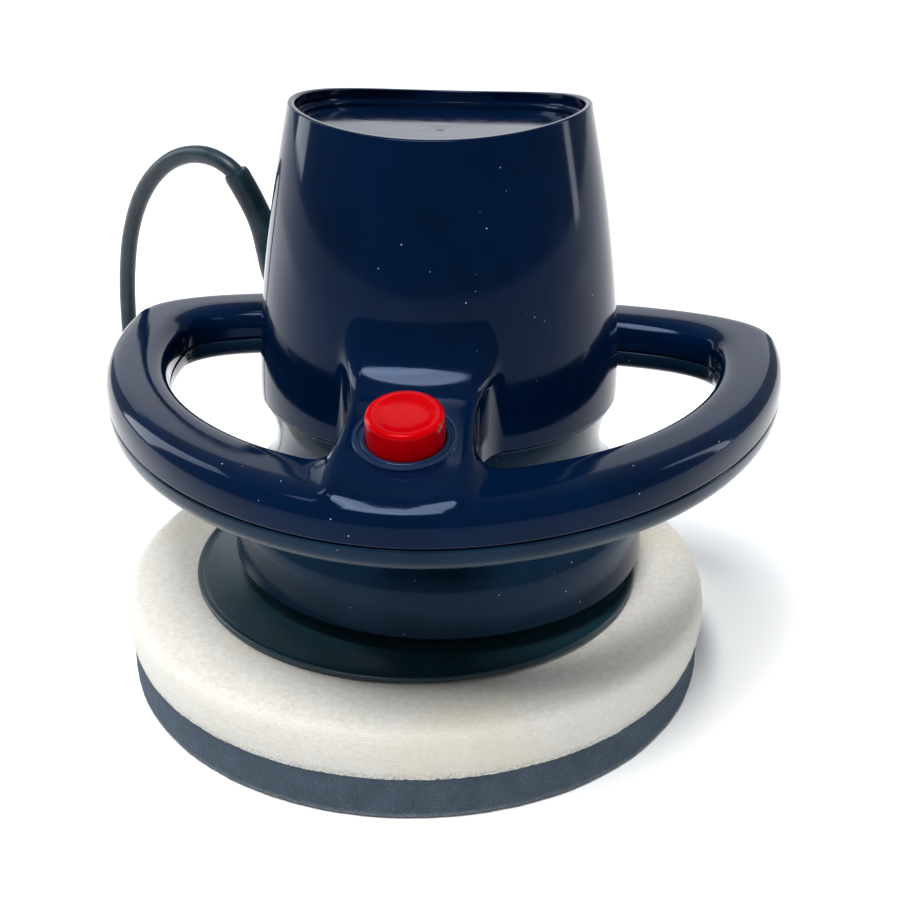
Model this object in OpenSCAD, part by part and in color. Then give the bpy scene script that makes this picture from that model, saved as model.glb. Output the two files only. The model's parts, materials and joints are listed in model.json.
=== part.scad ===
// Orbital car polisher with a round foam pad, an oval two-handed grip ring and a mains cord.
// Origin: on the motor's axis, at the pad's working face. The switch faces -Y, and +Z is up.

/* [Pad] */
// Radius of the foam pad at its working face
pad_r = 120; // [100:1:130]
// Thickness of the dark foam at the working face
face_foam_t = 17.3; // [10:0.1:24]
// Thickness of the pale foam above it
pale_foam_t = 19.4; // [12:0.1:26]
// How far the pale foam's side bulges
pad_bulge = 2.5; // [0:0.1:4]
// Radius of the hole in the pale foam that clears the pad bolt
pad_hole_r = 14; // [12:0.5:20]

/* [Backing plate] */
// Radius of the backing plate
plate_r = 92.25; // [76:0.25:100]
// Thickness of the hook disc that grips the pad
hook_t = 0.8; // [0.5:0.1:2]
// Thickness of the plate's beaded rim
plate_rim_t = 2; // [1.5:0.1:4]
// Height of the plate's cone over its underside
plate_cone_h = 8; // [5:0.5:9]
// Radius of the plate's bearing hub
plate_hub_r = 20; // [18:0.5:24]

/* [Eccentric drive] */
// Distance from the motor's axis to the pad's axis
throw = 11.8; // [10.5:0.1:14.5]
// Direction of the pad's axis from the motor's axis
throw_at = 225; // [0:5:355]
// Radius of the motor shaft at its drive end
shaft_r = 5; // [4:0.5:6]
// Radius of the motor shaft at its brush end
shaft_tip_r = 4; // [3:0.5:5]
// Radius of the eccentric pin
pin_r = 5; // [4:0.5:5.5]
// Height of the eccentric hub
hub_h = 16; // [12:0.5:20]
// Wall of the eccentric hub round its bores
hub_wall = 8; // [5:0.5:10]
// Radius of the counterweight sector
weight_r = 50; // [36:1:56]
// Radius of the cooling fan
fan_r = 52; // [40:1:56]
// Height of the cooling fan
fan_h = 7; // [5:0.5:9]

/* [Lower housing] */
// Radius of the skirt at its lower edge
skirt_r = 85.8; // [80:0.1:104]
// Radius of the skirt where the shoulder starts
skirt_top_r = 84.7; // [80:0.1:104]
// Gap between the plate's rim and the skirt
skirt_gap = 8.4; // [6:0.1:14]
// Height of the skirt up to its shoulder
skirt_h = 19.2; // [17:0.1:26]
// Radius of the neck over the shoulder
neck_r = 66; // [60:0.5:74]
// Height from the skirt's lower edge to the seam
lower_h = 66.7; // [64:0.1:82]
// Height over which the neck flares out to the seam
flare_h = 17; // [10:0.5:20]
// Wall thickness of the housing mouldings
wall = 3; // [2:0.1:4]

/* [Tower] */
// Radius of the tower at its foot
tower_base_r = 71.5; // [68:0.5:86]
// Radius of the tower at its top
tower_top_r = 57.8; // [52:0.1:66]
// Height of the tower over the seam
tower_h = 107.5; // [88:0.5:130]
// Radius of the trough across the tower's top
trough_r = 312.5; // [250:0.5:400]
// Depth of the cap's surface below the rim
recess_d = 7.5; // [5:0.5:10]
// Depth of the small ledge below the rim
ledge_d = 4.5; // [2:0.5:4.5]
// Width of the rim
rim_w = 3.8; // [2.5:0.1:6]
// Number of cooling slots at the back
vent_count = 7; // [3:1:9]

/* [Grip ring] */
// Half width of the ring, side to side
ring_half_w = 139.7; // [134:0.1:170]
// Reach of the ring to the front
ring_front = 138.6; // [132:0.1:160]
// Reach of the ring to the back
ring_back = 81.5; // [78:0.1:100]
// Height of the ring's upper half over the seam
ring_up_h = 14; // [12:0.1:18]
// Height of the ring's lower half below the seam
ring_down_h = 10.4; // [9.5:0.1:14]
// Half width of the opening inside the ring
grip_half_w = 113; // [100:0.1:116]
// Reach of the opening to the front
grip_front = 105; // [98:0.1:108]
// Reach of the opening to the back
grip_back = 51; // [40:0.1:56]
// Radius of the screw bosses inside the ring
ring_boss_r = 5.5; // [4.5:0.1:6.5]

/* [Switch] */
// Half width of the bridge that carries the switch
bridge_half_w = 21.7; // [19.5:0.1:27]
// Tilt of the bridge's top
bridge_tilt = 14.1; // [8:0.1:16]
// Distance of the button from the motor's axis
button_y = 102.7; // [100:0.1:106]
// Radius of the button
button_r = 12.9; // [10:0.1:13]
// Height of the button over the bridge's top
button_h = 9.5; // [7:0.1:12]
// Travel of the button
button_travel = 3; // [1:0.5:4]
// Radius of the hole that holds the bezel
bezel_r = 17; // [15.5:0.1:18]

/* [Motor] */
// Outer radius of the motor can
can_r = 44; // [40:0.5:46]
// Wall of the motor can
can_wall = 2.5; // [1.5:0.1:4]
// Radius of the armature
armature_r = 32.8; // [26:0.1:33]
// Radius of the commutator
commutator_r = 14; // [11:0.5:16]
// Width of a carbon brush
brush_w = 6; // [4:0.5:8]

/* [Cord] */
// Diameter of the mains cord
cord_d = 7.5; // [6:0.5:8]
// Radius of a coil's middle turn
coil_r = 42; // [38:1:46]
// Diameter of a plug pin
plug_pin_d = 4.8; // [4:0.1:6]
// Length of a plug pin
plug_pin_len = 19; // [15:1:25]

/* [Hidden] */

fit = 0.1;             // clearance of a part that drops into its seat
run_fit = 0.05;        // radial clearance of a shaft in its bearing
run_gap = 1;           // gap between parts that turn past each other
bearing_span = 10;     // ring-to-ring width of the drive end and pad bearings
bearing_w = 9;         // width of those bearings
tip_bearing_span = 7;  // the same for the brush end bearing
tip_bearing_w = 7;
plate_t = 4;           // thickness of the motor plate
web_t = 3;             // thickness of the web that carries the motor plate
drive_cap_h = 11;
brush_cap_h = 26;
flange_t = 3;          // flange of the brush end cap
screw_r = 2;           // M4 screws throughout
head_r = 3.8;
head_h = 2.3;
board_t = 1.6;
board_room = 9.9;      // height over the board up to the cap

// heights, from the floor up
pad_top = face_foam_t + pale_foam_t;
plate_z = pad_top + hook_t;
bead_r = plate_rim_t / 2;
rim_top = plate_z - 0.6 + plate_rim_t;
pad_bearing_z = plate_z + 1;
plate_hub_top = pad_bearing_z + bearing_w + 1.5;
hub_z = plate_hub_top + run_gap;
hub_top = hub_z + hub_h;
fan_z = hub_top + 1.5;
fan_top = fan_z + fan_h;
motor_plate_z = fan_top + 1.5;
web_z = motor_plate_z + plate_t;
skirt_z = rim_top + skirt_gap;
shoulder_z = skirt_z + skirt_h;
seam_z = skirt_z + lower_h;
top_z = seam_z + tower_h;
ring_top_z = seam_z + ring_up_h;
ring_bottom_z = seam_z - ring_down_h;
shelf_z = top_z - recess_d - 3.5;
board_z = shelf_z - board_room - board_t;
brush_cap_top = board_z - 3;
brush_cap_z = brush_cap_top - brush_cap_h;
can_z = web_z + drive_cap_h;
can_h = brush_cap_z - can_z;
brush_z = brush_cap_z + 6;
tip_bearing_z = brush_cap_top - 3 - tip_bearing_w;

// radii that follow
bearing_r = shaft_r + bearing_span;
pad_bearing_r = pin_r + bearing_span;
tip_bearing_r = shaft_tip_r + tip_bearing_span;
can_in_r = can_r - can_wall;
cap_hole_r = tower_top_r - rim_w - 1.3;
shelf_in_r = cap_hole_r - 3.7;
web_in_r = can_r + 8;
plate_screw_r = neck_r - wall - 4.5;
motor_screw_r = can_r - 8;
tie_bolt_r = (armature_r + can_in_r) / 2 + 0.3;
pin_xy = [throw * cos(throw_at), throw * sin(throw_at)];

// ---------- shapes that repeat ----------

function arc(c, r, a0, a1, n = 6) =
    [for (i = [0:n]) let (a = a0 + (a1 - a0) * i / n) c + r * [cos(a), sin(a)]];
function unit(v) = v / norm(v);
function sgn(v) = v < 0 ? -1 : 1;
function spow(v, n) = sgn(v) * pow(abs(v), 2 / n);

// A flat ring between two radii.
module tube(r_out, r_in, z, h) {
    translate([0, 0, z]) linear_extrude(h) difference() {
        circle(r_out, $fn = 96);
        circle(r_in, $fn = 96);
    }
}

module rod(r, z, h, fn = 48) { translate([0, 0, z]) cylinder(r = r, h = h, $fn = fn); }

module around(count, r, start = 0) {
    for (i = [0:count - 1]) rotate(start + 360 * i / count) translate([r, 0, 0]) children();
}

// A countersunk screw with its head's face at z = 0, pointing up.
module sunk_screw(len) {
    cylinder(r1 = head_r, r2 = screw_r, h = head_h, $fn = 48);
    rod(screw_r, head_h, len - head_h);
}

module sunk_hole(len) {
    translate([0, 0, -0.01]) cylinder(r1 = head_r + fit, r2 = screw_r + fit, h = head_h + fit, $fn = 48);
    rod(screw_r + fit, 0, len);
}

// A solid swept along points, with a radius at each point; ref is a direction it never runs along.
module swept(path, radii, sides, ref) {
    last = len(path) - 1;
    points = [for (k = [0:last]) let (
            t = unit(path[min(k + 1, last)] - path[max(k - 1, 0)]),
            u = unit(cross(ref, t)),
            v = cross(t, u))
        for (j = [0:sides - 1]) path[k] + radii[k] * (cos(360 * j / sides) * u + sin(360 * j / sides) * v)];
    sides_faces = [for (k = [0:last - 1]) for (j = [0:sides - 1])
        let (a = k * sides + j, b = k * sides + (j + 1) % sides)
        each [[a, a + sides, b], [b, a + sides, b + sides]]];
    ends = [[for (j = [0:sides - 1]) j], [for (j = [sides - 1:-1:0]) last * sides + j]];
    polyhedron(points = points, faces = concat(sides_faces, ends), convexity = 10);
}

module coil_spring(r, wire_r, len, turns, steps = 12) {
    count = turns * steps;
    path = [for (i = [0:count]) [r * cos(360 * i / steps), r * sin(360 * i / steps),
        wire_r + (len - 2 * wire_r) * i / count]];
    swept(path, [for (i = [0:count]) wire_r], 6, [0, 0, 1]);
}

// A sealed ball bearing standing on z = 0.
module bearing(r_out, r_in, w) {
    span = r_out - r_in;
    ring_t = 0.28 * span;
    ball_r = 0.29 * span;
    mid_r = (r_out + r_in) / 2;
    color("silver") rotate_extrude($fn = 96) difference() {
        union() {
            translate([r_out - ring_t, 0]) square([ring_t, w]);
            for (z = [0.3, w - 0.9]) translate([r_in + ring_t + 0.3, z]) square([span - 1.5 * ring_t, 0.6]);
        }
        translate([mid_r, w / 2]) circle(ball_r + 0.05, $fn = 48);
    }
    color("silver") rotate_extrude($fn = 96) difference() {
        translate([r_in, 0]) square([ring_t, w]);
        translate([mid_r, w / 2]) circle(ball_r + 0.05, $fn = 48);
    }
    color("gainsboro") around(8, mid_r) translate([0, 0, w / 2]) sphere(ball_r, $fn = 32);
}

module on_pad_axis() { translate([pin_xy.x, pin_xy.y, 0]) children(); }

// ---------- pad and backing plate ----------

module face_foam() {
    edge = 1.5;
    color("dimgray") on_pad_axis() rotate_extrude($fn = 128)
        polygon([[0, 0], [pad_r - edge, 0], [pad_r, edge], [pad_r, face_foam_t], [0, face_foam_t]]);
}

module pale_foam() {
    top_edge = 7;
    side = [for (i = [0:8]) let (t = i / 8) [pad_r + pad_bulge * sin(180 * t) - top_edge * pow(t, 4),
        face_foam_t + pale_foam_t * (t < 0.5 ? t : 0.5 + 0.5 * sin(180 * (t - 0.5)))]];
    color("ivory") on_pad_axis() rotate_extrude($fn = 128)
        polygon(concat([[pad_hole_r, face_foam_t]], side, [[pad_hole_r, pad_top]]));
}

module hook_disc() { color("black") on_pad_axis() tube(plate_r - 3, pad_bearing_r + 1, pad_top, hook_t); }

module backing_plate() {
    cone_r = plate_hub_r + 15;
    lip_r = pad_bearing_r - 3;
    color("darkslategray") on_pad_axis() rotate_extrude($fn = 128) union() {
        polygon([[pad_bearing_r, plate_z], [plate_r - bead_r, plate_z], [plate_r - bead_r, rim_top],
            [cone_r, plate_z + plate_cone_h], [plate_hub_r + 1, plate_z + plate_cone_h],
            [plate_hub_r, plate_hub_top], [lip_r, plate_hub_top], [lip_r, pad_bearing_z + bearing_w],
            [pad_bearing_r, pad_bearing_z + bearing_w]]);
        translate([plate_r - bead_r, rim_top - bead_r]) circle(bead_r, $fn = 32);
    }
}

module pad_bearing() {
    translate([pin_xy.x, pin_xy.y, pad_bearing_z]) bearing(pad_bearing_r, pin_r + run_fit, bearing_w);
}

module bearing_circlip() {
    color("dimgray") on_pad_axis() translate([0, 0, plate_z]) linear_extrude(0.9) difference() {
        circle(pad_bearing_r, $fn = 96);
        circle(pad_bearing_r - 2.4, $fn = 96);
        translate([0, -2]) square([pad_bearing_r + 1, 4]);
    }
}

// ---------- what turns with the motor ----------

module motor_shaft() {
    color("lightgray") {
        rod(shaft_r, hub_z + 1.5, tip_bearing_z - hub_z - 1.5);
        rod(shaft_tip_r, tip_bearing_z, tip_bearing_w + 0.5);
    }
}

core_z = can_z + 13;
core_h = can_h - 29;
slot_count = 12;
slot_at = armature_r - 6;

module armature_core() {
    color("slategray") translate([0, 0, core_z]) linear_extrude(core_h) difference() {
        circle(armature_r, $fn = 96);
        circle(shaft_r, $fn = 48);
        around(slot_count, slot_at) circle(2.8, $fn = 32);
        around(slot_count, slot_at) translate([0, -0.8]) square([8, 1.6]);
    }
}

module armature_windings() {
    turn_in = commutator_r;
    turn_out = armature_r - 2.5;
    color("chocolate") {
        tube(turn_out, turn_in, core_z - 9, 9);
        tube(turn_out, turn_in, core_z + core_h, 9);
        around(slot_count, slot_at) rod(2.5, core_z - 1, core_h + 2, 32);
    }
}

commutator_z = core_z + core_h + 9.3;

module commutator() {
    color("peru") difference() {
        union() {
            rod(commutator_r, commutator_z, tip_bearing_z - 2 - commutator_z, 96);
            rod(commutator_r + 2, commutator_z, 3, 96);
        }
        rod(shaft_r, commutator_z - 1, 60);
        around(slot_count, commutator_r) translate([-1, -0.3, commutator_z - 1]) cube([4, 0.6, 60]);
    }
}

module fan() {
    blade_count = 10;
    color("black") {
        tube(11, shaft_r, fan_z, fan_h);
        tube(fan_r, 10, fan_top - 1.5, 1.5);
        around(blade_count, 0) translate([16, -0.9, fan_z]) cube([fan_r - 17, 1.8, fan_h - 1]);
    }
}

module eccentric_hub() {
    weight_z = hub_z + 3;
    reach = 2 * weight_r;
    color("gray") difference() {
        union() {
            rod(shaft_r + hub_wall, hub_z, hub_h, 96);
            on_pad_axis() rod(pin_r + hub_wall, hub_z, hub_h, 96);
            translate([0, 0, weight_z]) linear_extrude(hub_top - weight_z) intersection() {
                circle(weight_r, $fn = 128);
                rotate(throw_at + 180) polygon([[0, 0], [reach * cos(70), reach * sin(70)], [reach, reach],
                    [reach, -reach], [reach * cos(70), -reach * sin(70)]]);
            }
        }
        rod(shaft_r, hub_z + 1.5, hub_h);
        on_pad_axis() rod(pin_r, hub_z - 1, hub_h - 1);
        rotate(throw_at - 90) translate([0, 0, hub_z + hub_h / 2]) rotate([0, 90, 0])
            rod(2.5, shaft_r - 1, hub_wall + 2);
    }
}

module hub_set_screw() {
    color("black") rotate(throw_at - 90) translate([0, 0, hub_z + hub_h / 2])
        rotate([0, 90, 0]) difference() {
        rod(2.5, shaft_r + fit, hub_wall - 1);
        rod(1.25, shaft_r + hub_wall - 3, 4, 6);
    }
}

pin_low_z = pad_bearing_z - 0.2;

module eccentric_pin() {
    color("lightgray") on_pad_axis() {
        rod(pin_r, pin_low_z, hub_z + hub_h - 2 - pin_low_z);
        tube(pin_r + 2.5, pin_r - 1, pad_bearing_z + bearing_w + 0.1, hub_z - pad_bearing_z - bearing_w - 0.1);
    }
}

module pad_washer() { color("silver") on_pad_axis() tube(pin_r + 2.6, 3 + fit, pin_low_z - 1.6, 1.6); }

module pad_bolt() {
    color("silver") translate([pin_xy.x, pin_xy.y, pin_low_z - 1.6]) {
        translate([0, 0, -4]) cylinder(r = 5.5, h = 4, $fn = 6);
        rod(3, 0, 1.6);
    }
}

// ---------- housing ----------

// The ring's plan: a wide arc in front and a flatter one behind, which meet on the line y = cy.
function loop(u, a, cy, front, back, n_front, n_back) = sin(u) < 0
    ? [a * spow(cos(u), n_front), cy + (cy + front) * spow(sin(u), n_front)]
    : [a * spow(cos(u), n_back), cy + (back - cy) * spow(sin(u), n_back)];
function ring_outer(u) = loop(u, ring_half_w, 34, ring_front, ring_back, 1.9, 2.45);
function ring_inner(u) = loop(u, grip_half_w, 22, grip_front, grip_back, 1.95, 2.6);
function ring_mid(u) = (ring_outer(u) + ring_inner(u)) / 2;
ring_stations = 64;
arch_steps = 10;
ring_skin = 2.8;
ring_screws_at = [25, 155, 200, 235, 305, 340];

// Half of the hollow ring: an arched channel, open at the seam, that rises for up = 1 and hangs for up = -1.
module ring_channel(h, up) {
    around_n = 2 * (arch_steps + 1);
    points = [for (k = [0:ring_stations - 1]) let (
            u = 360 * k / ring_stations, o = ring_outer(u), i = ring_inner(u),
            half = norm(o - i) / 2, side = unit(o - i), mid = (o + i) / 2)
        for (j = [0:around_n - 1]) let (inside = j > arch_steps, skin = inside ? ring_skin : 0,
            f = 180 * (inside ? around_n - 1 - j : j) / arch_steps,
            p = mid + side * (half - skin) * spow(cos(f), 3))
        [p.x, p.y, seam_z + up * (h - skin) * spow(max(sin(f), 0), 3)]];
    faces = [for (k = [0:ring_stations - 1]) for (j = [0:around_n - 1]) let (
            a = k * around_n + j, b = k * around_n + (j + 1) % around_n, next = (k + 1) % ring_stations,
            c = next * around_n + (j + 1) % around_n, d = next * around_n + j)
        up > 0 ? [a, b, c, d] : [d, c, b, a]];
    polyhedron(points = points, faces = faces, convexity = 8);
}

module at_ring_screws() {
    for (u = ring_screws_at) translate([ring_mid(u).x, ring_mid(u).y, 0]) children();
}

// The lower body's outline, moved in by skin.
corner_r = 4;
fillet_r = 5;
seam_r = tower_base_r - 0.5;
function lower_outline(skin) = let (
        c1 = [skirt_top_r - corner_r, shoulder_z],
        c2r = neck_r + fillet_r,
        c2 = [c2r, c1.x + c1.y + (corner_r + fillet_r) * sqrt(2) - c2r])
    concat([[0, skirt_z - 1], [skirt_r - skin, skirt_z - 1], [skirt_r - skin, skirt_z]],
        arc(c1, corner_r - skin, 0, 45, 4), arc(c2, fillet_r + skin, 225, 180, 5),
        [[neck_r - skin, seam_z - flare_h]],
        [for (t = [0.35, 0.7, 1]) [neck_r - skin + (seam_r - neck_r) * t * t, seam_z - flare_h * (1 - t)]],
        [[seam_r - skin, seam_z + 0.01], [0, seam_z + 0.01]]);

module lower_solid(skin) { rotate_extrude($fn = 128) polygon(lower_outline(skin)); }

module slab(z0, z1) { translate([-300, -300, z0]) cube([600, 600, z1 - z0]); }

bridge_front_y = ring_front - 4;
bridge_void_y = ring_front - 8;
trough_floor_z = ring_bottom_z + wall;

module at_plate_screws() { around(4, plate_screw_r, 45) children(); }

module lower_housing() {
    color("midnightblue") difference() {
        union() {
            difference() {
                union() {
                    lower_solid(0);
                    ring_channel(ring_down_h, -1);
                    translate([-bridge_half_w, -bridge_front_y, ring_bottom_z])
                        cube([2 * bridge_half_w, bridge_front_y - neck_r + 8, ring_down_h]);
                }
                difference() {
                    lower_solid(wall);
                    slab(web_z, web_z + web_t);
                }
                rod(web_in_r, web_z - 1, web_t + 2, 128);
                translate([-bridge_half_w + wall, -bridge_void_y, trough_floor_z])
                    cube([2 * (bridge_half_w - wall), bridge_void_y - neck_r + 12, ring_down_h]);
                slab(skirt_z - 2, skirt_z);
                slab(seam_z, seam_z + 1);
            }
            at_plate_screws() rod(5, web_z, 15);
            at_ring_screws() rod(ring_boss_r + 1, ring_bottom_z + 1, ring_down_h - 1);
        }
        at_plate_screws() rod(screw_r, web_z - 1, 14);
        at_ring_screws() rod(screw_r + fit, ring_bottom_z - 1, ring_down_h + 2);
        at_ring_screws() rod(head_r + 0.2, ring_bottom_z - 1, 6);
    }
}

// The tower's outer radius at a height, with the curve carried on past the top for the trough to cut.
function tower_r(z) = tower_base_r
    - (tower_base_r - tower_top_r) * pow(max(z - seam_z - 4, 0) / (tower_h - 4), 1.6);
function tower_outline(skin, z1) = concat([[0, seam_z], [seam_r - skin, seam_z]],
    [for (i = [0:12]) let (z = seam_z + 4 + (z1 - seam_z - 4) * i / 12) [tower_r(z) - skin, z]], [[0, z1]]);

// The space over the trough that crosses the tower's top, from height z at the middle.
module over_trough(z) {
    translate([0, 0, z + trough_r]) rotate([90, 0, 0])
        cylinder(r = trough_r, h = 200, center = true, $fn = 256);
}

// Local frame on the bridge's top: y runs up the slope from the ring, z is the face's normal.
module on_bridge() { translate([0, -bridge_front_y, ring_top_z]) rotate([bridge_tilt, 0, 0]) children(); }
module on_button() {
    translate([0, -button_y, ring_top_z + (bridge_front_y - button_y) * tan(bridge_tilt)])
        rotate([bridge_tilt, 0, 0]) children();
}

module bridge_bar(skin, start) {
    half = bridge_half_w - skin;
    r = 5 - skin;
    section = concat([[-half, 50]], [for (p = arc([half - r, skin + r], r, 180, 270)) [p.x - 2 * (half - r), p.y]],
        arc([half - r, skin + r], r, 270, 360), [[half, 50]]);
    on_bridge() translate([0, start, 0]) rotate([-90, 0, 0]) linear_extrude(bridge_front_y - 58 - start)
        polygon(section);
}

module vents() {
    pitch = 9;
    for (i = [0:vent_count - 1]) translate([(i - (vent_count - 1) / 2) * pitch - 1.5, 45, seam_z + 26])
        cube([3, 50, 30]);
}

clamp_at = 158;        // direction of the cord's way out of the tower
clamp_z = seam_z + 42;
clamp_x = tower_base_r - 14;

module upper_housing() {
    color("midnightblue") difference() {
        union() {
            difference() {
                union() {
                    rotate_extrude($fn = 128) polygon(tower_outline(0, top_z + 8));
                    ring_channel(ring_up_h, 1);
                    bridge_bar(0, 0);
                }
                rotate_extrude($fn = 128) polygon(tower_outline(wall, shelf_z - 3));
                rod(shelf_in_r, shelf_z - 4, 5, 128);
                rod(cap_hole_r, shelf_z, 30, 128);
                bridge_bar(wall, 4);
                slab(seam_z - 80, seam_z);
                over_trough(top_z);
                intersection() {
                    rod(tower_top_r - rim_w, shelf_z, 30, 128);
                    over_trough(top_z - ledge_d);
                }
                vents();
            }
            at_ring_screws() rod(ring_boss_r, seam_z, ring_up_h - 1.5);
            rotate(clamp_at) translate([clamp_x + cord_d / 2, -10, clamp_z]) cube([9, 20, 12]);
        }
        at_ring_screws() rod(screw_r, seam_z - 1, 10);
        on_button() rod(bezel_r + fit, -10, 20, 96);
        rotate(clamp_at) for (y = [-7, 7])
            translate([clamp_x, y, clamp_z + 6]) rotate([0, 90, 0]) rod(1.5, 0, 11);
        strain_hole();
    }
}

module top_cap() {
    skin = 2.6;
    color("navy") difference() {
        rod(cap_hole_r - fit, shelf_z, 20, 128);
        over_trough(top_z - recess_d);
        difference() {
            rod(shelf_in_r - 1, shelf_z - 1, 20, 128);
            over_trough(top_z - recess_d - skin);
        }
    }
}

module ring_screws() {
    seat = ring_bottom_z + 5;
    color("dimgray") at_ring_screws() difference() {
        union() {
            rod(head_r - 0.2, seat - 2.4, 2.4);
            rod(screw_r, seat - 0.1, 12);
        }
        rod(1.6, seat - 2.5, 1.4, 6);
    }
}

// ---------- motor ----------

module motor_plate() {
    color("silver") difference() {
        rod(neck_r - wall + 4, motor_plate_z, plate_t, 128);
        rod(bearing_r - 1, motor_plate_z - 1, plate_t + 2, 96);
        at_plate_screws() translate([0, 0, motor_plate_z]) sunk_hole(20);
        around(4, motor_screw_r, 45) translate([0, 0, motor_plate_z]) sunk_hole(20);
    }
}

module motor_plate_screws() {
    color("dimgray") at_plate_screws() translate([0, 0, motor_plate_z + 0.1]) sunk_screw(plate_t + 12);
}

module motor_screws() {
    color("dimgray") around(4, motor_screw_r, 45) translate([0, 0, motor_plate_z + 0.1]) sunk_screw(plate_t + 8);
}

module at_tie_bolts() { for (a = [90, 270]) rotate(a) translate([tie_bolt_r, 0, 0]) children(); }

module drive_end_cap() {
    bearing_z = web_z + 1;
    color("lightsteelblue") difference() {
        union() {
            rod(can_r + 2, web_z, drive_cap_h, 128);
            rod(can_in_r - fit, web_z, drive_cap_h + 3, 128);
        }
        rod(can_in_r - 4, can_z, 4, 128);
        rod(bearing_r, bearing_z, 30, 96);
        rod(bearing_r - 3, web_z - 1, 3, 96);
        around(4, motor_screw_r, 45) rod(screw_r, web_z - 1, 10);
        at_tie_bolts() rod(screw_r, web_z + 2, 30);
    }
}

module drive_end_bearing() { translate([0, 0, web_z + 1]) bearing(bearing_r, shaft_r + run_fit, bearing_w); }

module motor_can() { color("gainsboro") tube(can_r, can_in_r, can_z, can_h); }

module motor_magnets() {
    color("dimgray") translate([0, 0, can_z + 8]) linear_extrude(can_h - 20) difference() {
        circle(can_in_r - fit, $fn = 96);
        circle(armature_r + 0.8, $fn = 96);
        square([22, 200], center = true);
    }
}

module brush_end_cap() {
    cap_wall_in = can_in_r - 8.5;
    boss_r = tip_bearing_r + 4;
    color("saddlebrown") difference() {
        union() {
            rod(can_in_r - fit, brush_cap_z - 3, brush_cap_h + 3, 128);
            rod(can_r, brush_cap_z, flange_t, 128);
        }
        difference() {
            rod(cap_wall_in, brush_cap_z - 4, brush_cap_h + 1, 128);
            rod(boss_r, tip_bearing_z, 30, 96);
        }
        rod(tip_bearing_r, tip_bearing_z - 1, tip_bearing_w + 1, 96);
        rod(shaft_tip_r + 1, tip_bearing_z, 30);
        at_tie_bolts() rod(screw_r + fit, brush_cap_z - 4, 60);
        for (a = [0, 180]) rotate(a) translate([cap_wall_in - 1, 0, brush_z]) brush_bar(brush_w + 2.2, 20);
        for (x = [-24, 24]) for (y = [-16, 16]) translate([x, y, 0]) rod(1.2, brush_cap_top - 2.5, 3);
    }
}

// A square bar that runs outwards from x = 0.
module brush_bar(w, len) { translate([0, -w / 2, -w / 2]) cube([len, w, w]); }

module brush_end_bearing() {
    translate([0, 0, tip_bearing_z]) bearing(tip_bearing_r, shaft_tip_r + run_fit, tip_bearing_w);
}

module motor_tie_bolts() {
    color("silver") at_tie_bolts() {
        rod(screw_r, web_z + 3, brush_cap_top - web_z - 3);
        rod(3.5, brush_cap_top, 2.6);
    }
}

module both_brushes() { for (a = [0, 180]) rotate(a) translate([0, 0, brush_z]) children(); }
brush_from = commutator_r + 0.15;
brush_len = 15;
holder_end = can_r + 2;

module brush_holders() {
    w = brush_w + 2;
    color("goldenrod") both_brushes() difference() {
        translate([commutator_r + 2.5, 0, 0]) brush_bar(w, holder_end - commutator_r - 2.5);
        translate([commutator_r, 0, 0]) brush_bar(brush_w + 0.2, 60);
    }
}

module carbon_brushes() { color("black") both_brushes() translate([brush_from, 0, 0]) brush_bar(brush_w, brush_len); }

module brush_springs() {
    start = brush_from + brush_len + 0.1;
    color("silver") both_brushes() translate([start, 0, 0]) rotate([0, 90, 0])
        coil_spring(2.1, 0.35, holder_end - 3.2 - start, 5);
}

module brush_caps() {
    color("black") both_brushes() {
        translate([holder_end - 3, 0, 0]) brush_bar(brush_w, 3);
        translate([holder_end, 0, 0]) brush_bar(brush_w + 3, 1.5);
    }
}

// ---------- rectifier board and wiring ----------

module at_standoffs() { for (x = [-24, 24]) for (y = [-16, 16]) translate([x, y, 0]) children(); }

module rectifier_board() {
    color("darkgreen") difference() {
        translate([-30, -22, board_z]) cube([60, 44, board_t]);
        at_standoffs() rod(1.3, board_z - 1, 4);
    }
}

module board_parts() {
    top = board_z + board_t;
    color("dimgray") {
        translate([-14, -12, top]) cube([16, 16, 5]);
        translate([-20, 12, top + 4]) rotate([0, 90, 0]) rod(4, 0, 20);
        translate([8, -17, top]) cube([12, 22, 7]);
        translate([-4, -20, top]) cube([10, 6, 6]);
    }
}

module board_standoffs() {
    color("gold") at_standoffs() {
        rod(2.5, brush_cap_top, 3);
        rod(1.2, brush_cap_top - 2.4, 3 + board_t + 2.5);
        rod(2.4, board_z + board_t, 1.6);
    }
}

// The wires inside: two from the switch to the board, and one from the board to each brush.
module internal_leads() {
    lead_r = 1.2;
    wall_y = -(can_r + 10);
    for (x = [-6, 6]) {
        path = [[x, -92, seam_z - 4], [x, -80, seam_z], [x, wall_y - 6, seam_z + 6], [x, wall_y, seam_z + 20],
            [x, wall_y + 1, board_z - 25], [x, wall_y + 8, board_z - 4], [x, -30, board_z + 4],
            [x, -21, board_z + board_t + 3]];
        color(x < 0 ? "saddlebrown" : "royalblue") swept(path, [for (p = path) lead_r], 8, [1, 0, 0]);
    }
    for (s = [-1, 1]) {
        path = [[s * (can_r - 1), 0, brush_z + brush_w / 2 + 2.3], [s * (can_r + 1), 2, brush_z + 11],
            [s * can_r, 4, board_z - 4], [s * 38, 5, board_z + board_t + 3], [s * 28, 6, board_z + board_t + 1.3]];
        color("firebrick") swept(path, [for (p = path) lead_r], 8, [0, 1, 0]);
    }
}

// The route of the cord's sleeve, from inside the wall to its free end.
relief_route = [[-60, 24, 134], [-67, 27, 141], [-72.5, 32, 148], [-76, 36, 156.5], [-78.5, 38, 164.5],
    [-81, 38.5, 171.5], [-84.5, 37.5, 180], [-89, 36, 189.6]];
relief_radii = [7.5, 7.3, 6.9, 6.4, 6, 5.7, 5.5, 5.4];

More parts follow.
